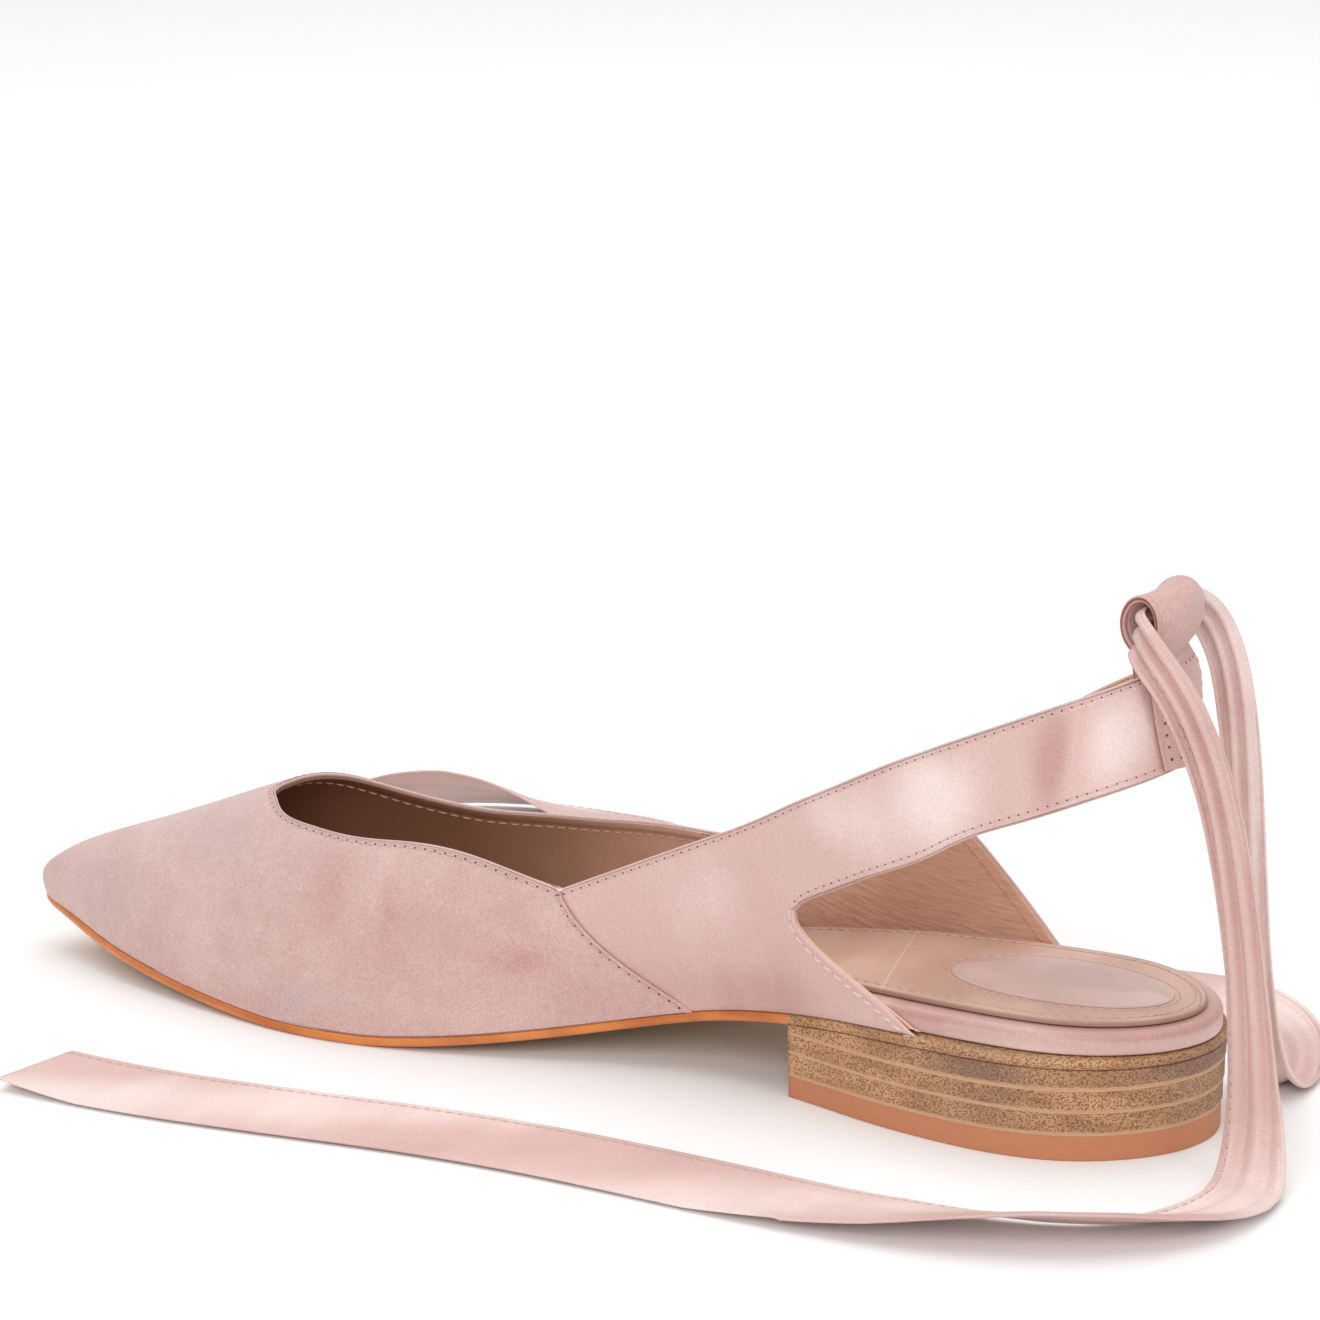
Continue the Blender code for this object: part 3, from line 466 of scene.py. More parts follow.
    def quarter_grid(self, side: Side, shares: Array, finer: int) -> Array:
        """The quarter's outer surface from the seam to the corner under the strap.

        Args:
            side: which side.
            shares: shares of the way up each column, with 0.5 among them.
            finer: how many columns there are for one row of the table.

        Returns:
            Points by column and row. The last column is hollowed by the curl.
        """
        table = self.tables(side)[1]
        rows = sampled_rows(table, finer)
        seam_edge, seam_middle, _, seam_top, _ = table[0]
        bow = self.seam_bow(table[0])
        seam = seam_edge + (seam_top - seam_edge) * (shares + 4 * bow * shares * (1 - shares))
        seam -= np.interp(shares, (0, 0.5, 1), (seam_edge, seam_middle, seam_top))
        lower = np.minimum(2 * shares, 1)
        curl = self.rear_curl[0 if side is MEDIAL else 1] * (np.sin(lower * math.pi / 2) - lower)
        columns = []
        for done, (edge, middle, middle_height, top, top_height) in zip(np.linspace(0, 1, len(rows)), rows):
            station = np.interp(shares, (0, 0.5, 1), (edge, middle, top))
            station = station + seam * (1 - done) + curl * done * (middle - edge)
            marks = (0, self.angle_at(middle, middle_height), self.angle_at(top, top_height))
            columns.append(self.wall(side, station, np.interp(shares, (0, 0.5, 1), marks)))
        return np.array(columns) - np.array([side.value * self.vamp_step, 0, 0])

    def oval(self, side: Side, oval: tuple[float, ...], front_height: float) -> list[tuple[float, ...]]:
        """Points of a strap edge round the heel.

        Args:
            side: which side.
            oval: the half oval that the edge follows.
            front_height: how high the edge is at its widest place.

        Returns:
            Points from the widest place to just past the back.
        """
        back, front, half_width, back_height = oval
        points = []
        power = 2 / self.strap_roundness
        for turn in np.radians(self.oval_turns):
            x = half_width * math.copysign(abs(math.sin(turn)) ** power, turn)
            station = front - (front - back) * math.cos(turn) ** power
            along = 1 - abs(turn) / (math.pi / 2)
            climb = along + self.oval_climb * along * (1 - along)
            points.append((side.value * x, station, front_height + (back_height - front_height) * climb))
        return points

    def strap_edge(self, side: Side, start: Array, first: int, oval: tuple[float, ...]) -> Spline:
        """One smooth edge of the strap, from the quarter's corner to just past the back.

        Args:
            side: which side.
            start: the point of the corner column that the edge leaves from.
            first: the strap table's column of the edge's station.
            oval: the half oval that the edge follows round the heel.

        Returns:
            The edge as a path. Its last knot but one is the middle of the back.
        """
        table = self.tables(side)[2]
        front, half_width = oval[1], oval[2]
        points = [tuple(start)]
        for row in table[:-1]:
            station, height = row[first], row[first + 1]
            eased = smoothstep((start[1] - station) / (start[1] - front))
            points.append((start[0] + (side.value * half_width - start[0]) * eased, station, height))
        points += self.oval(side, oval, table[-1][first + 1])
        return Spline.path(points)

    def strap_grid(self, side: Side, corner: Array, shares: Array, steps: int) -> Array:
        """The strap from the quarter's corner to the middle of the back.

        Args:
            side: which side.
            corner: the upper half of the quarter's last column.
            shares: shares of the way across the strap, one for each point of the corner.
            steps: how many columns there are.

        Returns:
            Points by column and row. The first column is the one after the corner.
        """
        low_edge = self.strap_edge(side, corner[0], 0, self.strap_back_lower)
        high_edge = self.strap_edge(side, corner[-1], 2, self.strap_back_upper)
        across = shares[:, None]
        crown = corner - (corner[0] + (corner[-1] - corner[0]) * across)
        columns = []
        for step in np.linspace(0, 1, steps + 1)[1:]:
            low = low_edge(step * low_edge.knots[-2])
            high = high_edge(step * high_edge.knots[-2])
            columns.append(low + (high - low) * across + crown * (1 - step) ** 2)
        columns[-1][:, 0] = 0
        return np.array(columns)


def sampled_rows(table: Table, finer: int) -> Array:
    """A table's rows with smooth rows put in between."""
    curve = Spline(range(len(table)), table)
    return curve(np.linspace(0, len(table) - 1, (len(table) - 1) * finer + 1))


def outline_sides(points: Array) -> tuple[Curve, Curve, float, float]:
    """The two sides of an outline in plan.

    Args:
        points: the outline's points.

    Returns:
        Its medial and lateral x as functions of the station, and its ends' stations.
    """
    ring = np.roll(points, -int(np.argmin(points[:, 1])), axis=0)
    tip = int(np.argmax(ring[:, 1]))
    runs = ring[: tip + 1], np.concatenate([ring[tip:], ring[:1]])[::-1]
    sides = []
    for run in runs:
        station = np.maximum.accumulate(run[:, 1])
        sides.append(lambda at, station=station, x=run[:, 0]: np.interp(at, station, x))
    return sides[0], sides[1], float(ring[0, 1]), float(ring[tip, 1])


LAST = Last()


# ---- meshes ----


def to_shoe(points: Array) -> Array:
    """Last coordinates in millimetres as the shoe's own frame in metres."""
    return (np.asarray(points, float) - np.array([0, REST_STATION, 0])) * MM


@dataclass
class Mesh:
    """Points and faces of one piece, with what its finish reads at each point."""

    points: Array
    faces: list[Face]
    uv: Array | None = None
    marks: dict[str, Array] = field(default_factory=dict)
    face_material: Array | None = None

    def placed(self, name: str, finishes: Sequence["Finish"], slot: Slot, *nodes: str) -> Object:
        """Makes the object, dresses it and ties it to the frame.

        Args:
            name: the piece's name.
            finishes: one finish, or one for each value of face_material.
            slot: the record's slot; not used.
            nodes: the solids that it stands for.

        Returns:
            The new object.
        """
        data = bpy.data.meshes.new(name)
        data.from_pydata(to_shoe(self.points).tolist(), [], self.faces)
        for finish in finishes:
            data.materials.append(material_of(finish))
        if self.face_material is not None:
            data.polygons.foreach_set("material_index", self.face_material.astype(np.int32))
        if self.uv is not None:
            layer = data.uv_layers.new(name="cloth")
            corner = np.empty(len(data.loops), np.int32)
            data.loops.foreach_get("vertex_index", corner)
            layer.data.foreach_set("uv", (self.uv[corner] * MM).astype(np.float32).ravel())
        for mark, values in self.marks.items():
            attribute = data.attributes.new(mark, "FLOAT", "POINT")
            attribute.data.foreach_set("value", np.asarray(values, np.float32))
        data.shade_smooth()
        data.update()
        piece = bpy.data.objects.new(name, data)
        bpy.context.scene.collection.objects.link(piece)
        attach(piece, BODY)
        if nodes:
            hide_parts(*nodes)
        log.info("%s: %d points, %d faces", name, len(self.points), len(self.faces))
        return piece

    def joined(self, other: "Mesh") -> "Mesh":
        """Both meshes as one.

        Args:
            other: the second mesh, whose faces take the next material.

        Returns:
            The joined mesh.
        """
        first = len(self.points)
        faces = self.faces + [tuple(first + i for i in face) for face in other.faces]
        index = np.concatenate([np.zeros(len(self.faces)), np.ones(len(other.faces))])
        return Mesh(np.concatenate([self.points, other.points]), faces, face_material=index)


def merged(
    points: Sequence, tags: Array, faces: list[Face], weld: float, thin: float
) -> tuple[bmesh.types.BMesh, Array, Array]:
    """Joins a mesh's coinciding points.

    Args:
        points: the points.
        tags: a row of values for each.
        faces: the faces.
        weld: how near two points are when they count as one.
        thin: edges shorter than this are closed up.

    Returns:
        The joined mesh, its points and their tags.
    """
    work = bmesh.new()
    layers = [work.verts.layers.float.new(str(column)) for column in range(tags.shape[1])]
    for point, row in zip(points, tags):
        vertex = work.verts.new(point)
        for layer, value in zip(layers, row):
            vertex[layer] = value
    work.verts.ensure_lookup_table()
    for face in faces:
        work.faces.new([work.verts[i] for i in face])
    bmesh.ops.remove_doubles(work, verts=work.verts, dist=weld)
    bmesh.ops.dissolve_degenerate(work, edges=work.edges, dist=thin)
    work.verts.index_update()
    points = np.array([v.co for v in work.verts], float)
    return work, points, np.array([[v[layer] for layer in layers] for v in work.verts], float)


@dataclass(frozen=True)
class Sheet:
    """An open surface cut from hide or cloth, with the coordinates of its weave."""

    points: Array
    normals: Array
    tags: Array
    faces: list[Face]
    rim: list[tuple[int, int]]

    WELD = 0.02

    @classmethod
    def of(cls, *grids: tuple[Array, Side]) -> "Sheet":
        """Joins grids of points into one surface with its faces outwards.

        Args:
            grids: points by column and row, each with its side of the shoe.

        Returns:
            The sheet.
        """
        points, tags, faces = [], [], []
        for grid, side in grids:
            rows = grid.shape[1]
            for first in range(len(points), len(points) + (len(grid) - 1) * rows, rows):
                for a in range(first, first + rows - 1):
                    cell = (a, a + rows, a + rows + 1, a + 1)
                    faces.append(cell if side is MEDIAL else cell[::-1])
            for column, u in zip(grid, lengths_along(grid[:, rows // 2])):
                up = lengths_along(column)
                points += list(column)
                tags += [(u, v) for v in up - up[-1]]
        work, points, tags = merged(points, np.array(tags), faces, cls.WELD, cls.WELD / 4)
        faces = [tuple(v.index for v in face.verts) for face in work.faces]
        work.normal_update()
        normals = np.array([v.normal for v in work.verts], float)
        rim = [
            (loop.vert.index, loop.link_loop_next.vert.index)
            for face in work.faces
            for loop in face.loops
            if loop.edge.is_boundary
        ]
        work.free()
        return cls(points, normals, tags, faces, rim)

    @functools.cached_property
    def outwards(self) -> dict[int, Array]:
        """At each point of the rim, the direction off the sheet, longer at a corner.

        Returns:
            The directions by the points' numbers.
        """
        found: dict[int, list[Array]] = {}
        for a, b in self.rim:
            out = unit(np.cross(self.points[b] - self.points[a], self.normals[a] + self.normals[b]))
            for i in (a, b):
                found.setdefault(i, []).append(out)
        means = {i: unit(sum(outs)) for i, outs in found.items()}
        return {i: mean / max(float(np.dot(mean, found[i][0])), 0.6) for i, mean in means.items()}

    def moved(self, distance: float | Array) -> "Sheet":
        """The same sheet shifted along its normals, by one distance or one a point."""
        return replace(self, points=self.points + self.normals * np.reshape(distance, (-1, 1)))

    def pulled(self, distance: float) -> "Sheet":
        """The same sheet with its rim drawn in.

        Args:
            distance: how far in it is drawn.

        Returns:
            The smaller sheet.
        """
        points = self.points.copy()
        for i, out in self.outwards.items():
            points[i] -= out * distance
        return replace(self, points=points)

    def closed(self, thickness: float, round_steps: int = 4, squareness: float = 1.0) -> Mesh:
        """The sheet with its thickness, its outer face kept and its edge rounded.

        Args:
            thickness: how thick it is.
            round_steps: how many faces the edge has across.
            squareness: 1 for a half round edge, less for a squarer cut.

        Returns:
            A closed mesh with the sheet's weave coordinates.
        """
        half = thickness / 2
        reach = half * squareness
        outer = self.pulled(reach).points
        count = len(outer)
        faces = self.faces + [tuple(count + i for i in reversed(face)) for face in self.faces]
        edge, origin, ladders = [], [], {}
        for i, out in self.outwards.items():
            first = 2 * count + len(edge)
            for turn in (math.pi * step / round_steps for step in range(1, round_steps)):
                lift = self.normals[i] * (half * math.cos(turn) - half)
                edge.append(outer[i] + lift + out * reach * math.sin(turn))
                origin.append(i)
            ladders[i] = [i, *range(first, first + round_steps - 1), count + i]
        for a, b in self.rim:
            near, far = ladders[a], ladders[b]
            faces += [(far[k], near[k], near[k + 1], far[k + 1]) for k in range(round_steps)]
        index = np.concatenate([np.arange(count), np.arange(count), origin])
        points = np.concatenate([outer, outer - self.normals * thickness, edge])
        return Mesh(points, faces, self.tags[index])

    @functools.cached_property
    def tree(self) -> BVHTree:
        """The sheet's faces, for finding the nearest place on it."""
        return BVHTree.FromPolygons([tuple(p) for p in self.points], self.faces)

    def nearest(self, points: Array) -> Pair:
        """The sheet's nearest places to some points.

        Args:
            points: the points.

        Returns:
            The places and the sheet's smooth normals there.
        """
        found, normals = [], []
        for point in points:
            place, _, face, _ = self.tree.find_nearest(Vector(point))
            corners = list(self.faces[face])
            reach = np.linalg.norm(self.points[corners] - np.array(place), axis=1)
            weight = 1 / (reach + 0.05)
            found.append(place)
            normals.append((self.normals[corners] * weight[:, None]).sum(0))
        return np.array(found), unit(np.array(normals))

    def line_inside(self, edge: Array, distance: float, eased: int = 0) -> Pair:
        """A line on the sheet at a distance inside one of its edges.

        Args:
            edge: points of the edge, in order.
            distance: how far inside it the line runs.
            eased: how many times its corners are smoothed.

        Returns:
            The line's points and the sheet's normals there.
        """
        even = respaced(edge, np.arange(0, lengths_along(edge)[-1], 0.6))
        _, normals = self.nearest(even)
        along = unit(np.gradient(even, axis=0))
        inward = unit(np.cross(along, normals))
        trial, _ = self.nearest(even + inward * distance)
        other, _ = self.nearest(even - inward * distance)
        gain = np.linalg.norm(trial - even, axis=1) - np.linalg.norm(other - even, axis=1)
        if gain.sum() < 0:
            inward = -inward
        return self.nearest(smoothed(even + inward * distance, eased))


def distances(points: Array, *lines: Array) -> Array:
    """How far each point lies from the nearest of some lines.

    Args:
        points: the points.
        lines: each line's points, in order.

    Returns:
        One distance a point.
    """
    dense = np.concatenate([respaced(line, np.arange(0, lengths_along(line)[-1], 0.25)) for line in lines])
    tree = KDTree(len(dense))
    for i, point in enumerate(dense):
        tree.insert(Vector(point), i)
    tree.balance()
    return np.array([tree.find(Vector(point))[2] for point in points])


@dataclass(frozen=True)
class Plate:
    """A flat piece of the bottom: an outline in plan between two heights, edges rounded."""

    ring: Array
    low: Curve
    high: Curve
    round_low: float
    round_high: float
    breast: float | None = None
    sections: int = 150
    cells: int = 16
    round_steps: int = 5

    def mesh(self) -> Mesh:
        """Lofts the plate from section to section.

        Returns:
            A closed mesh marked with how far each point lies inside the edge.
        """
        left, right, back, tip = outline_sides(self.ring)
        is_cut = self.breast is not None
        end = self.breast if is_cut else tip
        turn = math.pi * np.linspace(0, 1, self.sections) / (2 if is_cut else 1)
        stations = back + (end - back) * (1 - np.cos(turn)) / (1 if is_cut else 2)
        edges = [np.stack([side(stations), stations], axis=1) for side in (left, right)]
        outs = []
        for edge, sign in zip(edges, (1, -1)):
            edge[0] = self.ring[int(np.argmin(self.ring[:, 1]))]
            if not is_cut:
                edge[-1] = self.ring[int(np.argmax(self.ring[:, 1]))]
            along = np.gradient(edge, axis=0)
            if is_cut:
                along[-1] = along[-2]
            out = unit(np.stack([-along[:, 1], along[:, 0]], axis=1)) * sign
            out[0] = (0, -1)
            out[-1] = (math.copysign(1, out[-1][0]), 0) if is_cut else (0, 1)
            outs.append(out)
        sections = [self.section([e[i] for e in edges], [o[i] for o in outs]) for i in range(self.sections)]
        loops, insides = zip(*sections)
        width = len(loops[0])
        faces = []
        for first in range(0, (self.sections - 1) * width, width):
            for j in range(width):
                a, b = first + j, first + (j + 1) % width
                faces.append((a, b, b + width, a + width))
        if is_cut:
            faces.append(self.breast_face((self.sections - 1) * width))
        points = np.concatenate(loops)
        return welded(Mesh(points, faces, points[:, :2].copy(), {"inset": np.concatenate(insides)}))

    def levels(self) -> list[Triple]:
        """The edge's profile from the bottom up.

        Returns:
            For each level its inset, its share of the height and its lift.
        """
        low, high = self.round_low, self.round_high
        turns = [math.pi / 2 * k / self.round_steps for k in range(self.round_steps + 1)]
        lower = [(low * (1 - math.sin(turn)), 0, low * (1 - math.cos(turn))) for turn in turns]
        upper = [(high * (1 - math.cos(turn)), 1, -high * (1 - math.sin(turn))) for turn in turns]
        return lower + upper

    def section(self, ends: list[Array], outs: list[Array]) -> Pair:
        """One closed section: across the bottom, up the lateral edge, back over the top.

        Args:
            ends: the medial and the lateral end of the section, in plan.
            outs: the directions off the edge there.

        Returns:
            The section's points and how far each lies inside the edge.
        """
        sides = []
        for end, out in zip(ends, outs):
            run = []
            for inset, share, lift in self.levels():
                x, station = end - out * inset
                low, high = float(self.low(station)), float(self.high(station))
                run.append((x, station, low + (high - low) * share + lift))
            sides.append(np.array(run))
        medial, lateral = sides
        across = np.linspace(0, 1, self.cells + 1)[1:-1, None]
        bottom = medial[0] + (lateral[0] - medial[0]) * across
        top = lateral[-1] + (medial[-1] - lateral[-1]) * across
        for run, height in ((bottom, self.low), (top, self.high)):
            run[:, 2] = height(run[:, 1])
        loop = np.concatenate([bottom, lateral, top, medial[::-1]])
        insets = np.array([level[0] for level in self.levels()])
        reach = np.linalg.norm(lateral[-1] - medial[-1]) / 2
        spread = reach * (1 - np.abs(2 * across[:, 0] - 1))
        return loop, np.concatenate([spread, insets, spread, insets[::-1]])

    def breast_face(self, first: int) -> Face:
        """The heel's upright front face.

        Args:
            first: the number of the last section's first point.

        Returns:
            One face round that section.
        """
        levels = 2 * (self.round_steps + 1)
        inner = self.cells - 1
        lateral = [first + inner + k for k in range(levels)]
        medial = [first + 2 * inner + 2 * levels - 1 - k for k in range(levels)]
        bottom = [medial[0]] + [first + k for k in range(inner)] + [lateral[0]]
        top = [medial[-1]] + [first + 2 * inner + levels - 1 - k for k in range(inner)] + [lateral[-1]]
        return tuple(bottom + lateral[1:-1] + top[::-1] + medial[1:-1][::-1])


def welded(mesh: Mesh) -> Mesh:
    """A mesh with its coinciding points joined and its faces turned outwards.

    Args:
        mesh: a mesh with weave coordinates.

    Returns:
        The joined mesh, with the same marks.
    """
    tags = np.column_stack([mesh.uv, *mesh.marks.values()])
    work, points, tags = merged(mesh.points, tags, mesh.faces, PLATE_WELD, PLATE_WELD / 2)
    bmesh.ops.recalc_face_normals(work, faces=work.faces)
    faces = [tuple(v.index for v in face.verts) for face in work.faces]
    work.free()
    return Mesh(points, faces, tags[:, :2], dict(zip(mesh.marks, tags[:, 2:].T)))


# ---- finishes ----


class Graph:
    """The node graph of one finish, built a step at a time."""

    def __init__(self, name: str) -> None:
        """Starts a material with its shader.

        Args:
            name: the material's name.
        """
        self.material = bpy.data.materials.new(name)
        self.material.use_nodes = True
        self.tree = self.material.node_tree
        self.shader = self.tree.nodes["Principled BSDF"]
        self.place = self.add("TexCoord", {}).outputs["Object"]
        self.cloth = self.add("UVMap", {}, uv_map="cloth").outputs["UV"]

    def add(self, kind: str, inputs: dict, **settings: object) -> bpy.types.Node:
        """Adds a node.

        Args:
            kind: the node's type.
            inputs: a value or a linked socket for each named or numbered input.
            settings: the node's own settings.

        Returns:
            The node.
        """
        node = self.tree.nodes.new(f"ShaderNode{kind}")
        for name, value in settings.items():
            setattr(node, name, value)
        for key, value in inputs.items():
            if isinstance(value, Socket):
                self.tree.links.new(value, node.inputs[key])
            else:
                node.inputs[key].default_value = value
        return node

    def noise(
        self,
        size: float,
        detail: float = 2.0,
        stretch: Triple = (1, 1, 1),
        turn: float = 0.0,
        on_cloth: bool = False,
    ) -> Socket:
        """Cloudy noise.

        Args:
            size: how large its features are, in millimetres.
            detail: how many finer layers it has.
            stretch: how much longer the features are along each axis.
            turn: how far the pattern is turned about the last axis, in degrees.
            on_cloth: whether it follows the weave and not the space.

        Returns:
            Its value, about 0.5.
        """
        scale = tuple(1 / (size * MM * s) for s in stretch)
        source = self.cloth if on_cloth else self.place
        if turn:
            turned = {"Vector": source, "Rotation": (0, 0, math.radians(turn))}
            source = self.add("Mapping", turned).outputs[0]
        mapped = self.add("Mapping", {"Vector": source, "Scale": scale}).outputs[0]
        return self.add("TexNoise", {"Vector": mapped, "Scale": 1, "Detail": detail}).outputs[0]

    def mark(self, name: str) -> Socket:
        """What the mesh says about each point, by the mark's name."""
        return self.add("Attribute", {}, attribute_name=name).outputs["Fac"]

    def eased(self, value: Socket, low: float, high: float, start: float = 0.0, end: float = 1.0) -> Socket:
        """A value between low and high carried smoothly to between start and end."""
        inputs = {"Value": value, "From Min": low, "From Max": high, "To Min": start, "To Max": end}
        return self.add("MapRange", inputs, interpolation_type="SMOOTHSTEP").outputs[0]

    def maths(self, operation: str, first: object, second: object = 0) -> Socket:
        """One step of arithmetic on two values."""
        return self.add("Math", {0: first, 1: second}, operation=operation).outputs[0]

    def mixed(self, share: object, first: object, second: object) -> Socket:
        """A colour between two, by a share."""
        colours = {0: share, 6: opaque(first), 7: opaque(second)}
        return self.add("Mix", colours, data_type="RGBA").outputs[2]

    def trough(self, value: Socket, at: float, width: float) -> Socket:
        """0 where a value is at a number, rising to 1 where it is some width away."""
        return self.eased(self.maths("ABSOLUTE", self.maths("SUBTRACT", value, at)), 0, width)

    def varied(self, colour: object, value: object, amount: float) -> Socket:
        """A colour made lighter or darker by a noise.

        Args:
            colour: a colour or a linked one.
            value: noise about 0.5.
            amount: the share by which it changes the colour at most.

        Returns:
            The changed colour.
        """
        ends = {"From Min": 0.25, "From Max": 0.75, "To Min": 1 - amount, "To Max": 1 + amount}
        factor = self.add("MapRange", {"Value": value, **ends}).outputs[0]
        inputs = {0: 1, 6: opaque(colour), 7: factor}
        return self.add("Mix", inputs, data_type="RGBA", blend_type="MULTIPLY").outputs[2]

    def relief(self, *layers: tuple[Socket, float]) -> Socket:
        """Bumps laid one over another.

        Args:
            layers: each bump's height and its depth in millimetres, the lowest first.

        Returns:
            The last bump's directions.
        """
        below = {}
        for height, depth in layers:
            inputs = {"Height": height, "Distance": depth * MM, "Strength": 1, **below}
            below = {"Normal": self.add("Bump", inputs).outputs[0]}
        return below["Normal"]

    def finish(self, colour: object, roughness: object, bump: Socket, **constants: object) -> None:
        """Sets the shader.

        Args:
            colour: a colour or a linked one.
            roughness: a number or a linked one.
            bump: the last bump's directions.
            constants: the shader's other inputs, which stay the same all over.
        """
        inputs = {"base color": opaque(colour), "roughness": roughness, "normal": bump}
        inputs |= {name.replace("_", " "): value for name, value in constants.items()}
        for name, value in inputs.items():
            socket = next(s for s in self.shader.inputs if s.name.lower() == name)
            if isinstance(value, Socket):
                self.tree.links.new(value, socket)
            else:
                socket.default_value = value


def opaque(colour: object) -> object:
    """A plain colour with its alpha, or the linked one as it is."""
    return colour if isinstance(colour, Socket) else (*colour, 1.0)


@dataclass(frozen=True)
class Finish:
    """How one kind of surface looks."""

    name: str

    def dress(self, graph: Graph) -> None:
        """Builds the finish's nodes."""
        raise NotImplementedError


@functools.cache
def material_of(finish: Finish) -> bpy.types.Material:
    """The finish's material, made once."""
    graph = Graph(finish.name)
    finish.dress(graph)
    return graph.material


@dataclass(frozen=True)
class Suede(Finish):
    """Brushed suede: an even tone with a short nap, darker rosy patches of painted shade, and a raw cut
    edge.
    """

    light: Colour = srgb(218, 187, 181)
    deep: Colour = srgb(205, 170, 164)
    # Tone of the painted shade in the vamp's slight dents and low along the sole.
    rubbed: Colour = srgb(196, 148, 142)
    grey: Colour = srgb(196, 174, 172)
    cut: Colour = srgb(166, 103, 85)
    topline_at: float = 1.2
    seam_at: float = 1.2

    def dress(self, graph: Graph) -> None:
        """Builds the suede's nodes.

        Args:
            graph: the finish's graph.
        """
        cloud = graph.noise(17, 3)
        brushed = graph.noise(4.2, 3, (2.2, 1, 1), 24)
        nap = graph.noise(1.2, 4)
        grain = graph.noise(0.4, 3)
        tone = graph.maths("ADD", graph.maths("MULTIPLY", cloud, 0.6), graph.maths("MULTIPLY", brushed, 0.4))
        colour = graph.mixed(graph.eased(tone, 0.3, 0.7), self.deep, self.light)
        # Painted shade in darker rosy patches, by the mesh's mark.
        darkening = graph.maths("MULTIPLY", graph.mark("rubbed"), graph.eased(brushed, 0.3, 0.6, 0.5, 1))
        colour = graph.mixed(darkening, colour, self.rubbed)
        colour = graph.mixed(graph.mark("greyed"), colour, self.grey)
        colour = graph.varied(colour, nap, 0.05)
        colour = graph.varied(colour, grain, 0.16)
        seam = graph.mark("seam")
        colour = graph.mixed(graph.eased(seam, 0.18, 0.45, 1, 0), colour, self.cut)
        edge = graph.mark("topline")
        colour = graph.mixed(graph.eased(edge, 0.5, 1.2, 0.5, 0), colour, self.light)
        fold = graph.trough(edge, self.topline_at, 0.6)
        fold = graph.maths("MULTIPLY", fold, graph.trough(seam, self.seam_at, 0.5))
        bump = graph.relief((fold, 0.22), (brushed, 0.22), (nap, 0.12), (grain, 0.07))
        graph.finish(
            colour,
            graph.eased(nap, 0.3, 0.7, 0.86, 0.98),
            bump,
            sheen_weight=0.3,
            sheen_roughness=0.45,
            sheen_tint=(1, 0.92, 0.9, 1),
            specular_ior_level=0.12,
        )


@dataclass(frozen=True)
class Satin(Finish):
    """Woven satin: fine cross ribs, silky slubs, and broad soft bands of painted sheen and shade in its
    colour.
    """

    # light, middle and deep are the tones of the painted sheen and shade: highlight, mid tone and shade.
    light: Colour = srgb(239, 217, 212)
    deep: Colour = srgb(194, 149, 141)
    middle: Colour = srgb(214, 179, 172)
    fold_at: float = 1.2

    def dress(self, graph: Graph) -> None:
        """Builds the satin's nodes.

        Args:
            graph: the finish's graph.
        """
        sway = graph.noise(16, 2, (1, 2.6, 1), 12, on_cloth=True)
        slub = graph.noise(0.5, 3, (1, 5, 1), on_cloth=True)
        speck = graph.noise(0.38, 2)
        # Painted sheen and shade: the colour goes from deep to light by the mesh's mark and broad noise
        # bands.
        band = graph.maths("ADD", graph.mark("lustre"), graph.maths("MULTIPLY", sway, 0.4))
        band = graph.maths("ADD", band, 0.2)
        colour = graph.mixed(graph.eased(band, 0.12, 0.4), self.deep, self.middle)
        colour = graph.mixed(graph.eased(band, 0.4, 0.85), colour, self.light)
        colour = graph.varied(colour, slub, 0.035)
        colour = graph.varied(colour, speck, 0.11)
        fold = graph.trough(graph.mark("edge"), self.fold_at, 0.5)
        bump = graph.relief((fold, 0.1), (slub, 0.05), (speck, 0.03))
        graph.finish(
            colour,
            graph.eased(sway, 0.3, 0.7, 0.36, 0.46),
            bump,
            sheen_weight=0.22,
            sheen_roughness=0.35,
            sheen_tint=(1, 0.93, 0.9, 1),
            specular_ior_level=0.55,
        )


@dataclass(frozen=True)
class LiningLeather(Finish):
    """Soft tan lining leather with fine wrinkles and pores, and painted shade that darkens it towards the
    toe.
    """

    light: Colour = srgb(234, 192, 166)
    deep: Colour = srgb(220, 176, 150)
    # dark is the tone of the painted shade inside the vamp, and of the stitched groove.
    dark: Colour = srgb(124, 84, 61)
    rim: Colour = srgb(212, 172, 158)
    groove_at: float = 2.6

    def dress(self, graph: Graph) -> None:
        """Builds the lining's nodes.

        Args:
            graph: the finish's graph.
        """
        cloud = graph.noise(18, 3)
        wrinkle = graph.noise(0.9, 3, (4.5, 1, 1), 48, on_cloth=True)
        pore = graph.noise(0.5, 2)
        colour = graph.mixed(graph.eased(cloud, 0.35, 0.65), self.deep, self.light)
        # Painted shade: the depth mark darkens the lining deep inside the vamp.
        colour = graph.mixed(graph.mark("depth"), colour, self.dark)
        creased = graph.maths("MULTIPLY", wrinkle, graph.mark("creased"))
        colour = graph.varied(colour, creased, 0.08)
        colour = graph.varied(colour, pore, 0.05)
        edge = graph.mark("edge")
        colour = graph.mixed(graph.eased(edge, 0.9, 1.4, 1, 0), colour, self.rim)
        groove = graph.trough(edge, self.groove_at, 0.7)
        colour = graph.mixed(graph.eased(groove, 0, 1, 0.35, 0), colour, self.dark)
        bump = graph.relief((groove, 0.25), (creased, 0.32), (pore, 0.05))
        graph.finish(colour, graph.eased(wrinkle, 0.3, 0.7, 0.42, 0.58), bump, specular_ior_level=0.4)


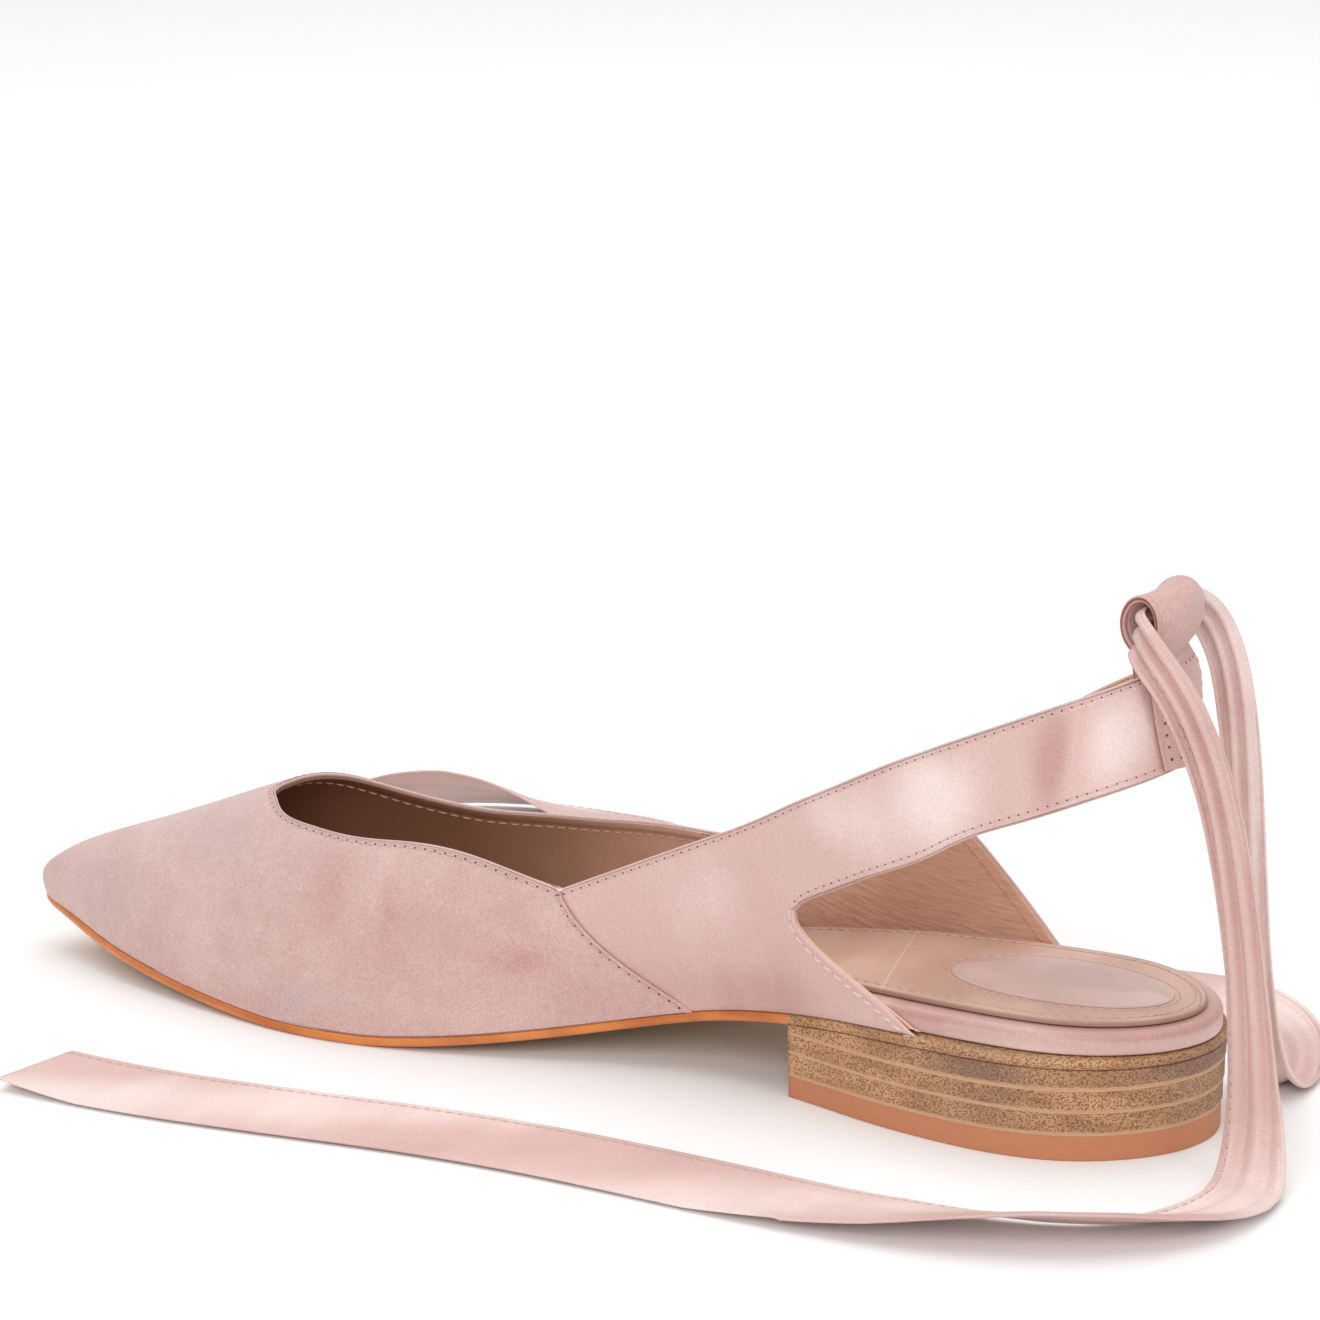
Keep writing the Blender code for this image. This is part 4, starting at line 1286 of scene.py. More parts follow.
@dataclass(frozen=True)
class SockLeather(Finish):
    """Smooth tan sock leather, pressed flat, with a scored line across the seat."""

    light: Colour = srgb(206, 170, 154)
    deep: Colour = srgb(192, 154, 138)
    shine: float = 0.36
    scored: Colour = srgb(226, 204, 194)
    cut: Colour = srgb(150, 112, 92)
    groove_at: float = 2.2
    # Scored line across the seat: x and station of one point on it, and its slope.
    line_from: tuple[float, float] = (1.8, 68.8)
    line_lean: float = 0.29

    def dress(self, graph: Graph) -> None:
        """Builds the sock's nodes.

        Args:
            graph: the finish's graph.
        """
        cloud = graph.noise(22, 2)
        grain = graph.noise(0.7, 3)
        colour = graph.mixed(graph.eased(cloud, 0.35, 0.65), self.deep, self.light)
        colour = graph.varied(colour, grain, 0.035)
        place = graph.add("SeparateXYZ", {0: graph.place}).outputs
        ahead = graph.maths("SUBTRACT", place["Y"], (self.line_from[1] - REST_STATION) * MM)
        aside = graph.maths("SUBTRACT", place["X"], self.line_from[0] * MM)
        off = graph.maths("SUBTRACT", ahead, graph.maths("MULTIPLY", aside, self.line_lean))
        score = graph.eased(graph.maths("ABSOLUTE", off), 0.1 * MM, 0.3 * MM, 1, 0)
        colour = graph.mixed(graph.maths("MULTIPLY", score, 0.5), colour, self.scored)
        inset = graph.mark("inset")
        colour = graph.mixed(graph.eased(inset, 0.1, 0.7, 0.65, 0), colour, self.cut)
        bump = graph.relief((graph.trough(inset, self.groove_at, 0.6), 0.18), (grain, 0.05))
        graph.finish(colour, graph.eased(cloud, 0.3, 0.7, self.shine, self.shine + 0.1), bump)


@dataclass(frozen=True)
class SoleEdge(Finish):
    """Burnished outsole leather: glossy orange round the forepart, stained brown at the heel."""

    glossy: Colour = srgb(218, 130, 58)
    dark: Colour = srgb(192, 104, 44)
    stained: Colour = srgb(172, 130, 110)
    under: Colour = srgb(196, 158, 116)
    stain_from: float = 79.0
    stain_to: float = 83.0

    def dress(self, graph: Graph) -> None:
        """Builds the sole's nodes.

        Args:
            graph: the finish's graph.
        """
        cloud = graph.noise(9, 3, (1, 2, 0.5))
        fibre = graph.noise(0.8, 3, (1, 1, 0.4))
        colour = graph.mixed(graph.eased(cloud, 0.35, 0.68), self.glossy, self.dark)
        colour = graph.mixed(graph.eased(graph.mark("inset"), 1.2, 2.6), colour, self.under)
        along = graph.add("SeparateXYZ", {0: graph.place}).outputs["Y"]
        start, end = (self.stain_from - REST_STATION) * MM, (self.stain_to - REST_STATION) * MM
        colour = graph.mixed(graph.eased(along, start, end, 1, 0), colour, self.stained)
        colour = graph.varied(colour, fibre, 0.07)
        rough, bump = graph.eased(cloud, 0.3, 0.7, 0.22, 0.36), graph.relief((fibre, 0.05))
        graph.finish(colour, rough, bump, coat_weight=0.35, coat_roughness=0.18)


@dataclass(frozen=True)
class StackedLeather(Finish):
    """Edge of pressed leather lifts: speckled fibres in thin lines, with darker stains."""

    light: Colour = srgb(208, 162, 118)
    deep: Colour = srgb(190, 142, 98)
    pale: Colour = srgb(206, 166, 128)
    speck: Colour = srgb(112, 74, 46)
    stain: Colour = srgb(140, 108, 96)
    # Height of the speckled band's middle, as a share of the lift.
    band_middle: float = 0.54

    def dress(self, graph: Graph) -> None:
        """Builds the stack's nodes.

        Args:
            graph: the finish's graph.
        """
        cloud = graph.noise(8, 3, (1.6, 1.6, 0.6))
        blot = graph.noise(13, 3, (1, 1, 0.35))
        fibre = graph.noise(0.55, 4, (2.4, 2.4, 0.55))
        pit = graph.noise(0.36, 2, (1.3, 1.3, 0.9))
        off = graph.maths("ABSOLUTE", graph.maths("SUBTRACT", graph.mark("rise"), self.band_middle))
        off = graph.maths("ADD", off, graph.maths("MULTIPLY", fibre, 0.08))
        band = graph.eased(off, 0.45, 0.55, 1, 0)
        colour = graph.mixed(graph.eased(cloud, 0.34, 0.66), self.light, self.deep)
        colour = graph.mixed(graph.eased(blot, 0.5, 0.74, 0, 0.35), colour, self.stain)
        colour = graph.mixed(graph.mark("stained"), colour, self.stain)
        colour = graph.mixed(graph.eased(band, 0, 1, 0.75, 0), colour, self.pale)
        colour = graph.varied(colour, fibre, 0.1)
        dots = graph.maths("MULTIPLY", graph.eased(pit, 0.47, 0.6, 0, 0.8), band)
        colour = graph.mixed(dots, colour, self.speck)
        bump = graph.relief((dots, 0.05), (fibre, 0.05))
        graph.finish(colour, graph.eased(fibre, 0.3, 0.7, 0.4, 0.58), bump, specular_ior_level=0.4)


@dataclass(frozen=True)
class Plain(Finish):
    """A small plain surface with a fine grain: thread, glue line or rubber."""

    colour: Colour
    roughness: float = 0.6
    grain: float = 0.5
    variation: float = 0.08

    def dress(self, graph: Graph) -> None:
        """Builds the surface's nodes.

        Args:
            graph: the finish's graph.
        """
        grain = graph.noise(self.grain, 3)
        cloud = graph.noise(12 * self.grain, 2)
        colour = graph.varied(graph.varied(self.colour, grain, self.variation), cloud, self.variation / 2)
        graph.finish(colour, self.roughness, graph.relief((grain, 0.06)), specular_ior_level=0.35)


SUEDE = Suede("suede")
SATIN = Satin("satin")
LINING = LiningLeather("lining_leather")
SOCK = SockLeather("sock_leather")
PAD = SockLeather("pad_leather", srgb(208, 180, 172), srgb(196, 166, 158), 0.34)
SOLE_EDGE = SoleEdge("outsole_leather")
STACK = StackedLeather("stacked_leather")
GLUE_LINE = Plain("glue_line", srgb(204, 164, 128), 0.6, 0.5, 0.06)
TOP_RUBBER = Plain("top_piece_rubber", srgb(194, 128, 92), 0.5, 1.1, 0.04)
THREAD_PINK = Plain("thread_pink", srgb(216, 184, 178), 0.6, 0.2)
THREAD_WHITE = Plain("thread_white", srgb(232, 214, 208), 0.6, 0.2)
THREAD_TAN = Plain("thread_tan", srgb(196, 158, 136), 0.6, 0.2)
THREAD_SOCK = Plain("thread_sock", srgb(212, 182, 168), 0.6, 0.2)
# Dark discs at the needle holes: painted shade of the holes.
NEEDLE_HOLE_SHADE = Plain("needle_hole", srgb(112, 66, 60), 0.9, 0.2)


# ---- stitches ----


@dataclass(frozen=True)
class Stitch:
    """One stitch of a row: its thread, its length and the needle holes between."""

    pitch: float = 2.7
    length: float = 2.0
    thread: float = 0.21
    hole: float = 0.3
    bow: float = 0.1
    lean: float = 0.0
    finish: Finish = THREAD_PINK

    SIDES = 6

    @property
    def ring(self) -> list[tuple[float, float]]:
        """Directions round a thread."""
        turns = [2 * math.pi * k / self.SIDES for k in range(self.SIDES)]
        return [(math.cos(turn), math.sin(turn)) for turn in turns]

    def thread_form(self) -> Form:
        """A short thread along x, bowed up in its middle, with rounded ends.

        Returns:
            Its points and faces.
        """
        half = self.length / 2
        rings = ((-half, 0), (-half + 0.12, 0.7), (-half * 0.55, 1), (0, 1.05))
        rings += tuple((-x, r) for x, r in reversed(rings[:-1]))
        points = []
        for x, share in rings:
            reach, lift = self.thread * share, self.bow * (1 - (x / half) ** 2)
            points += [(x, reach * across, lift + reach * up) for across, up in self.ring]
        faces = []
        for a in range(0, len(points) - self.SIDES, self.SIDES):
            for k in range(self.SIDES):
                b = a + (k + 1) % self.SIDES
                faces.append((a + k, a + k + self.SIDES, b + self.SIDES, b))
        return np.array(points), faces

    def hole_form(self) -> Form:
        """A needle hole's painted shade: a tiny dark flat dome that stands a hair over the surface.

        Returns:
            Its points and faces.
        """
        points = [(0, 0, 0.05)] + [(self.hole * across, self.hole * up, -0.02) for across, up in self.ring]
        faces = [(0, 1 + k, 1 + (k + 1) % self.SIDES) for k in range(self.SIDES)]
        return np.array(points), faces


def copies(form: Form, places: Array, axes: Array) -> Mesh:
    """A form repeated at places.

    Args:
        form: the form's points and faces.
        places: where each copy lies.
        axes: each copy's along, across and up directions.

    Returns:
        All the copies as one mesh.
    """
    points, faces = form
    spread = places[:, None] + np.einsum("pk,nkc->npc", points, axes)
    count = len(points)
    repeated = [tuple(n * count + i for i in face) for n in range(len(places)) for face in faces]
    return Mesh(spread.reshape(-1, 3), repeated)


def sew(name: str, line: Array, normals: Array, stitch: Stitch, slot: Slot) -> Object:
    """Sews a row of stitches along a line on a surface.

    Args:
        name: the piece's name.
        line: points of the row.
        normals: the surface's directions out at them.
        stitch: what one stitch is like.
        slot: the record's slot of the cloth that it holds.

    Returns:
        The row as one piece.
    """

    def frames(at: Array) -> Pair:
        """The places at some distances along the line, with their directions.

        Args:
            at: the distances.

        Returns:
            The places, and each one's along, across and up directions.
        """
        up = unit(respaced(normals, at, line))
        forward = unit(respaced(line, at + 0.4) - respaced(line, at - 0.4))
        across = unit(np.cross(up, forward))
        forward = np.cross(across, up)
        turn = math.radians(stitch.lean)
        leaned = forward * math.cos(turn) + across * math.sin(turn)
        return respaced(line, at), np.stack([leaned, np.cross(up, leaned), up], axis=1)

    count = int(lengths_along(line)[-1] / stitch.pitch)
    places, axes = frames((np.arange(count) + 0.5) * stitch.pitch)
    threads = copies(stitch.thread_form(), places, axes)
    if not stitch.hole:
        return threads.placed(name, [stitch.finish], slot)
    # Dark discs at the needle holes: painted shade of the holes.
    places, axes = frames(np.arange(count + 1) * stitch.pitch)
    holes = copies(stitch.hole_form(), places, axes)
    return threads.joined(holes).placed(name, [stitch.finish, NEEDLE_HOLE_SHADE], slot)


# ---- the bottom ----


@dataclass(frozen=True)
class Bottom:
    """Outsole, stacked heel, insole board, sock and the heel's raised pad."""

    breast: float = 82.0
    fit_gap: float = 0.3
    wall: float = 1.6
    edge_round: float = 0.85
    glue_line: float = 0.5
    top_round: float = 0.35
    lift_round: float = 0.12
    # Columns: height at the back, height at the breast.
    planes: Table = ((0, 0), (5.5, 4.7), (10, 9.4), (14.6, 13.4))
    insets: tuple[float, ...] = (1, 0.75, 0.5, 0.3)
    board_seat: float = 4.0
    board_fore: float = 2.0
    board_step_end: float = 150.0
    board_step: float = 70.0
    seat_back_run: float = 42.0
    seat_back_inset: float = 0.9
    sock_back_inset: float = 3.9
    sock_seat_inset: float = 7.6
    sock_thickness: float = 1.0
    sock_stitch_end: float = 128.0
    pad_swell: float = 0.95
    pad_swell_reach: float = 7.5
    # Station of its middle, half length, half width.
    pad_oval: Triple = (33, 23, 12.5)
    edge_stitch: Stitch = Stitch(2.9, 2.1, 0.15, 0.15, 0.03, 14, THREAD_SOCK)
    pad_stitch: Stitch = Stitch(2.5, 1.8, 0.14, 0.14, 0.03, 0, THREAD_SOCK)

    def outsole(self) -> None:
        """The thin outsole with its round, glossy edge."""
        rounding = self.edge_round
        mesh = Plate(LAST.outline[0], LAST.tread, LAST.sole_top, rounding, rounding, sections=260).mesh()
        middles = np.array([mesh.points[list(face), 1].mean() for face in mesh.faces])
        mesh.face_material = (middles < self.breast - self.fit_gap).astype(int)
        mesh.marks["rise"] = np.full(len(mesh.points), 0.45)
        mesh.marks["stained"] = 0.35 * self.stains(mesh.points)
        mesh.placed("outsole_leather", [SOLE_EDGE, STACK], Slot.LEATHER_EDGE, "outsole")

    def heel(self) -> None:
        """Top piece and lifts with the pale glue lines between them."""
        names = ("top_piece", "heel_lift_low", "heel_lift_middle", "heel_lift_wedge")
        planes = [self.plane(*row) for row in self.planes] + [lifted(LAST.tread, -0.02)]
        half = self.glue_line / 2
        for k, name in enumerate(names):
            low = lifted(planes[k], half if k else 0)
            high = lifted(planes[k + 1], -half if k < 3 else 0)
            finish, slot = (STACK, Slot.STACKED_LEATHER) if k else (TOP_RUBBER, Slot.TOP_PIECE)
            ring, rounding = LAST.inset(self.insets[k]), self.lift_round if k else self.top_round
            mesh = Plate(ring, low, high, rounding, self.lift_round, self.breast).mesh()
            bottom, top = low(mesh.points[:, 1]), high(mesh.points[:, 1])
            rise = (mesh.points[:, 2] - bottom) / np.maximum(top - bottom, 0.1)
            mesh.marks["rise"] = np.clip(rise, 0, 0.6 if k == 3 else 1)
            mesh.marks["stained"] = self.stains(mesh.points) * (0.85 if k == 3 else 0.35)
            mesh.placed(f"{name}_body", [finish], slot, name)
        for k, plane in enumerate(planes[1:4], start=1):
            ring = LAST.inset((self.insets[k - 1] + self.insets[k]) / 2 + 0.06)
            line = Plate(ring, lifted(plane, -half), lifted(plane, half), 0.05, 0.05, self.breast - 0.05)
            line.mesh().placed(f"glue_line_{k}", [GLUE_LINE], Slot.STACKED_LEATHER)

    def stains(self, points: Array) -> Array:
        """How dark the dye lies on the heel: more at the back and on a medial stretch."""
        back = np.exp(-((points[:, 1] / 9) ** 2))
        side = np.exp(-(((points[:, 1] - 38) / 13) ** 2)) * (points[:, 0] < 0)
        return np.maximum(back, side)

    def plane(self, back: float, front: float) -> Curve:
        """A tilted plane between the lifts of the heel."""
        return lambda station: back + (front - back) / self.breast * station

    def seat_share(self, station: Array) -> Array:
        """1 at the heel seat and 0 where the board runs on inside the upper."""
        return smoothstep((self.board_step_end - station) / self.board_step)

    def back_share(self, station: Array) -> Array:
        """1 at the very back of the heel and 0 where the quarters begin."""
        return np.clip(1 - station / self.seat_back_run, 0, 1) ** 2

    def board_low(self, station: Array) -> Array:
        """Height of the insole board's underside."""
        return LAST.feather_height(station) - self.fit_gap * self.seat_share(station)

    def board_top(self, station: Array) -> Array:
        """Height of the insole board's upper face."""
        thick = self.board_fore + (self.board_seat - self.board_fore) * self.seat_share(station)
        return LAST.feather_height(station) + thick

    def sock_top(self, station: Array) -> Array:
        """Height of the sock's upper face."""
        return self.board_top(station) + self.fit_gap + self.sock_thickness

    def board(self) -> None:
        """The insole board wrapped in satin, whose rand shows round the heel seat."""
        side = LAST.feather_inset + LAST.vamp_step + self.wall + self.fit_gap
        inset = side - (side - self.seat_back_inset) * self.back_share(LAST.outline[0][:, 1])
        ring = LAST.inset(inset)
        mesh = Plate(ring, self.board_low, self.board_top, 0.5, 1.5, sections=220, round_steps=8).mesh()
        turn = np.arctan2(mesh.points[:, 0], mesh.points[:, 1] - 50)
        mesh.uv = np.stack([turn * 40, mesh.points[:, 2]], axis=1)
        # Painted sheen in bands round the heel, and painted shade over the rand's upper part.
        rise = (mesh.points[:, 2] - LAST.feather_height(mesh.points[:, 1])) / self.board_seat
        shade = smoothstep((rise - 0.4) / 0.4)
        mesh.marks["lustre"] = 0.22 + 0.12 * np.sin(turn * 5) - 0.45 * shade
        mesh.marks["edge"] = np.full(len(mesh.points), 9)
        mesh.placed("insole_rand", [SATIN], Slot.SATIN, "insole_board")

    def sock_inset(self, station: Array) -> Array:
        """How far the sock's edge stands inside the sole's edge.

        Args:
            station: where along the shoe.

        Returns:
            The inset there.
        """
        fore = LAST.feather_inset + LAST.vamp_step + self.wall + 2 * self.fit_gap
        drop = self.sock_seat_inset - self.sock_back_inset
        seat = self.sock_back_inset + drop * (1 - self.back_share(station))
        return fore + (seat - fore) * self.seat_share(station)

    def sock(self) -> None:
        """The sock, its stitched edge, and the raised pad in its stitched oval."""
        inset = self.sock_inset(LAST.outline[0][:, 1])
        bottom = lifted(self.board_top, self.fit_gap)
        plate = Plate(LAST.inset(inset), bottom, self.sock_top, 0.2, 0.4, sections=220, cells=24)
        plate.mesh().placed("sock_cover", [SOCK], Slot.SOCK_LEATHER, "sock")
        ring = LAST.inset(inset + 2.2)
        ring = ring[ring[:, 1] < self.sock_stitch_end]
        start = int(np.argmax(np.linalg.norm(np.diff(ring, axis=0), axis=1)))
        self.sock_row("sock_edge_stitches", np.roll(ring, -start - 1, axis=0), 0.05, self.edge_stitch)
        self.pad()

    def sock_row(self, name: str, ring: Array, lift: float, stitch: Stitch) -> None:
        """A row of stitches on the sock.

        Args:
            name: the piece's name.
            ring: the row's points in plan.
            lift: how far over the sock's face it lies.
            stitch: what one stitch is like.
        """
        line = np.column_stack([ring, self.sock_top(ring[:, 1]) + lift])
        sew(name, line, np.tile((0, 0, 1), (len(line), 1)), stitch, Slot.SOCK_LEATHER)

    def pad(self) -> None:
        """The heel's soft pad and the stitched oval round it."""
        low, high = lifted(self.sock_top, 0.02), lifted(self.sock_top, 0.35)
        mesh = Plate(self.oval(0)[:-1], low, high, 0.05, 0.3, sections=90, cells=20).mesh()
        top = mesh.points[:, 2] - self.sock_top(mesh.points[:, 1]) > 0.2
        swell = smoothstep(mesh.marks["inset"] / self.pad_swell_reach)
        mesh.points[:, 2] += np.where(top, swell * self.pad_swell, 0)
        mesh.marks["inset"] = mesh.marks["inset"] + 4
        pad = mesh.placed("heel_pad_cushion", [PAD], Slot.SOCK_LEATHER, "heel_pad")
        self.sock_row("pad_stitches", self.oval(1), 0.04, self.pad_stitch)

    def oval(self, grown: float) -> Array:
        """The pad's outline in plan.

        Args:
            grown: how far outside the pad it runs.

        Returns:
            Its points, the first one again at the end.
        """
        middle, half_length, half_width = self.pad_oval
        turns = np.linspace(0, 2 * math.pi, 241)
        across, along = -(half_width + grown) * np.sin(turns), (half_length + grown) * np.cos(turns)
        return np.stack([across, middle - along], axis=1)


def lifted(curve: Curve, amount: float) -> Curve:
    """A curve with some height added."""
    return lambda station: curve(station) + amount


# ---- the upper ----


@dataclass(frozen=True)
class Patch:
    """A soft round place on the upper: where it is, how far it reaches and how strong."""

    side: Side
    station: float
    height: float
    reach_along: float
    reach_up: float
    strength: float
    lean: float = 0.0

    def weight(self, points: Array) -> Array:
        """The patch's strength at each point, fading out round it.

        Args:
            points: the points.

        Returns:
            One strength a point.
        """
        along = points[:, 1] - self.station
        up = points[:, 2] - self.height
        turn = math.radians(self.lean)
        first = (along * math.cos(turn) + up * math.sin(turn)) / self.reach_along
        second = (up * math.cos(turn) - along * math.sin(turn)) / self.reach_up
        near = np.exp(-(first**2 + second**2))
        return self.strength * near * (points[:, 0] * self.side.value > -1)


def patched(points: Array, patches: Sequence[Patch]) -> Array:
    """The summed strength of some patches at each point."""
    return sum((patch.weight(points) for patch in patches), np.zeros(len(points)))


@dataclass(frozen=True)
class Upper:
    """Suede vamp, satin quarters with the slingback strap, and their leather lining."""

    suede: float = 0.95
    satin: float = 0.85
    lining: float = 0.62
    lap: float = 1.4
    # How far inside its edge each row of stitches runs.
    top_inset: float = 1.2
    strap_inset: float = 1.15
    rear_inset: float = 1.6
    lining_inset: float = 2.6
    top_stitch: Stitch = Stitch(2.3, 1.5, 0.15, 0.36, 0.05)
    seam_stitch: Stitch = Stitch(2.4, 1.4, 0.12, 0.33, 0.04)
    notch_knot: Stitch = Stitch(1.5, 1.3, 0.26, 0, 0.25, 0, THREAD_WHITE)
    strap_stitch: Stitch = Stitch(1.95, 1.2, 0.13, 0.3, 0.04)
    rear_stitch: Stitch = Stitch(2.7, 1.8, 0.18, 0.16, 0.1, 10, THREAD_WHITE)
    lining_stitch: Stitch = Stitch(2.6, 1.8, 0.17, 0.2, finish=THREAD_TAN)
    lower_rows: int = 22
    upper_rows: int = 22
    dense: int = 48
    toe: int = 22
    finer: int = 9
    quarter_finer: int = 12
    strap_steps: int = 110
    # Darker rosy patches of painted shade: slight dents on the vamp, its lower wall and a band along the
    # sole.
    rubbed: tuple[Patch, ...] = (
        Patch(MEDIAL, 179, 30.5, 4, 8, 0.62), Patch(MEDIAL, 165.5, 29.5, 2.6, 5.5, 0.58),
        Patch(MEDIAL, 139.5, 21, 7, 3, 0.58), Patch(MEDIAL, 156, 22, 36, 13, 0.28),
        Patch(MEDIAL, 122, 14, 16, 6, 0.3), Patch(LATERAL, 176, 26, 9, 6, 0.4),
        Patch(LATERAL, 148, 20, 26, 12, 0.24), Patch(MEDIAL, 200, 4, 60, 2.6, 0.3),
        Patch(LATERAL, 200, 4, 60, 2.6, 0.3),
    )
    greyed: tuple[Patch, ...] = (
        Patch(MEDIAL, 244, 18, 24, 14, 0.35), Patch(MEDIAL, 214, 36, 26, 8, 0.45),
        Patch(MEDIAL, 188, 6.5, 7, 2.6, 0.5), Patch(MEDIAL, 183, 9, 9, 3, 0.3),
        Patch(LATERAL, 246, 18, 24, 14, 0.55), Patch(LATERAL, 214, 36, 26, 8, 0.45),
    )
    dents: tuple[Patch, ...] = (
        Patch(MEDIAL, 265, 8.5, 8, 4.5, 0.8), Patch(LATERAL, 265, 8.5, 8, 4.5, 0.8),
    )
    # Painted sheen and shade on the satin: highlights where the strength is positive, shade where it is
    # negative.
    lustre: tuple[Patch, ...] = (
        Patch(MEDIAL, 48, 68, 9, 9, 0.42), Patch(MEDIAL, 16, 81, 5.5, 9, 0.45),
        Patch(MEDIAL, 26.5, 77.5, 3.6, 9, -0.32), Patch(MEDIAL, 84, 50.5, 13, 7, -0.1),
        Patch(MEDIAL, 92, 19, 22, 8, -0.2), Patch(MEDIAL, 98, 38, 10, 11, 0.16),
        Patch(MEDIAL, 68, 59, 12, 9, 0.3), Patch(LATERAL, 48, 68, 9, 9, 0.4),
        Patch(LATERAL, 24, 78, 5, 9, -0.28), Patch(LATERAL, 92, 19, 22, 8, -0.22),
        Patch(LATERAL, 100, 36, 12, 11, 0.16),
    )
    weave_slope: float = 31.0
    seam_station: float = 131.0
    seam_ease: int = 8
    lining_gap: float = 0.03
    lining_draw: float = 0.25
    lining_squareness: float = 0.8
    # Where painted shade darkens the lining towards the toe, and where it creases towards the heel.
    dark_from: float = 112.0
    dark_run: float = 80.0
    crease_from: float = 118.0
    crease_run: float = 26.0
    fork_fill: float = 0.9
    fork_reach: float = 2.0
    foot_fullness: float = 0.55
    foot_rise: float = 3.0
    foot_drop: float = 0.55

    def rows(self, grid: Array, lower: bool = True) -> Array:
        """Spaces a grid's rows so that they crowd towards its edges and its middle row.

        Args:
            grid: points by column and row.
            lower: whether the grid has a lower half, under its middle row.

        Returns:
            The grid with its new rows.
        """
        half = grid.shape[1] // 2 if lower else 0
        parts = [[crowded(column[half:], self.upper_rows) for column in grid]]
        if lower:
            parts.insert(0, [crowded(column[: half + 1], self.lower_rows)[:-1] for column in grid])
        return np.concatenate(parts, axis=1)

    def grids(self, side: Side) -> tuple[Array, Array, Array]:
        """The outer surfaces of one side.

        Args:
            side: which side.

        Returns:
            The vamp's, the quarter's and the strap's points by column and row.
        """
        shares = np.linspace(0, 1, 2 * self.dense + 1)
        vamp = LAST.vamp_grid(side, shares, self.toe, self.finer)
        quarter = LAST.quarter_grid(side, shares, self.quarter_finer)
        across = np.linspace(0, 1, self.dense + 1)
        strap = LAST.strap_grid(side, quarter[-1][self.dense :], across, self.strap_steps)
        vamp, quarter, strap = self.rows(vamp), self.rows(quarter), self.rows(strap, lower=False)
        corner = quarter[-1][self.lower_rows].copy()
        away = unit(unit(quarter[-1][self.lower_rows - 4] - corner) + unit(strap[3][0] - corner))
        for grid in (quarter, strap):
            near = np.exp(-((np.linalg.norm(grid - corner, axis=-1) / self.fork_reach) ** 2))
            grid += away * (self.fork_fill * near)[..., None]
        return vamp, quarter, strap

    def build(self) -> None:
        """Builds every piece of the upper."""
        grids = {side: self.grids(side) for side in Side}
        self.vamp(grids)
        for side in Side:
            self.quarter(side, *grids[side])
        self.lining_piece(grids)

    def seated(self, sheet: Sheet) -> Sheet:
        """A sheet with its dents, and with its foot full and down on the sole.

        Args:
            sheet: the smooth sheet.

        Returns:
            The shaped one.
        """
        rise = sheet.points[:, 2] - LAST.feather_height(sheet.points[:, 1])
        foot = np.exp(-((rise / self.foot_rise) ** 2))
        seated = sheet.moved(patched(sheet.points, self.dents) + self.foot_fullness * foot)
        seated.points[:, 2] -= self.foot_drop * foot
        return seated

    @property
    def throat(self) -> int:
        """The vamp's column at the middle of the throat."""
        return self.toe + (LAST.spine_rows - 1) * self.finer

    def topline(self, grids: dict) -> Array:
        """The vamp's top line, from the medial seam round the throat to the lateral one."""
        medial, lateral = (grids[side][0][self.throat :, -1] for side in Side)
        return np.concatenate([medial[::-1], lateral[1:]])

    def vamp(self, grids: dict) -> None:
        """The suede vamp with its rolled top line, raw seam edges and stitches.

        Args:
            grids: the vamp's, quarter's and strap's grids of each side.
        """
        sheet = self.seated(Sheet.of(*((grids[side][0], side) for side in Side)))
        mesh = sheet.closed(self.suede)
        topline = self.topline(grids)
        seams = {side: grids[side][0][-1] for side in Side}
        mesh.marks["topline"] = distances(mesh.points, topline)
        mesh.marks["seam"] = distances(mesh.points, *seams.values())
        for name, patches in (("rubbed", self.rubbed), ("greyed", self.greyed)):
            mesh.marks[name] = np.clip(patched(mesh.points, patches), 0, 1)
        mesh.placed("vamp", [SUEDE], Slot.SUEDE, "upper")
        sew("topline_stitches", *sheet.line_inside(topline, self.top_inset, 4), self.top_stitch, Slot.SUEDE)
        for side, seam in seams.items():
            name, row = side.name.lower(), sheet.line_inside(seam[4:], self.top_inset)
            sew(f"seam_stitches_{name}", *row, self.seam_stitch, Slot.SUEDE)
            notch = seam[-1] + np.array([(0, 0.8, 0), (0, -0.8, 0)])
            sew(f"notch_knot_{name}", notch, sheet.nearest(notch)[1], self.notch_knot, Slot.SUEDE)

    def quarter(self, side: Side, vamp: Array, quarter: Array, strap: Array) -> None:
        """One satin quarter with its half of the strap.

        Args:
            side: which side.
            vamp: the vamp's grid, whose last column is the seam.
            quarter: the quarter's grid.
            strap: the strap's grid.
        """
        name = side.name.lower()
        wide = np.concatenate([[quarter[0] - unit(vamp[-1] - vamp[-3]) * self.lap], quarter])
        band = np.concatenate([[quarter[-1][self.lower_rows :]], strap])
        sheet = self.seated(Sheet.of((wide, side), (band, side)))
        mesh = sheet.closed(self.satin)
        top = np.concatenate([quarter[:, -1], strap[:, -1]])
        rear = np.concatenate([quarter[-1][: self.lower_rows], band[:, 0]])
        mesh.marks["edge"] = distances(mesh.points, top, rear)
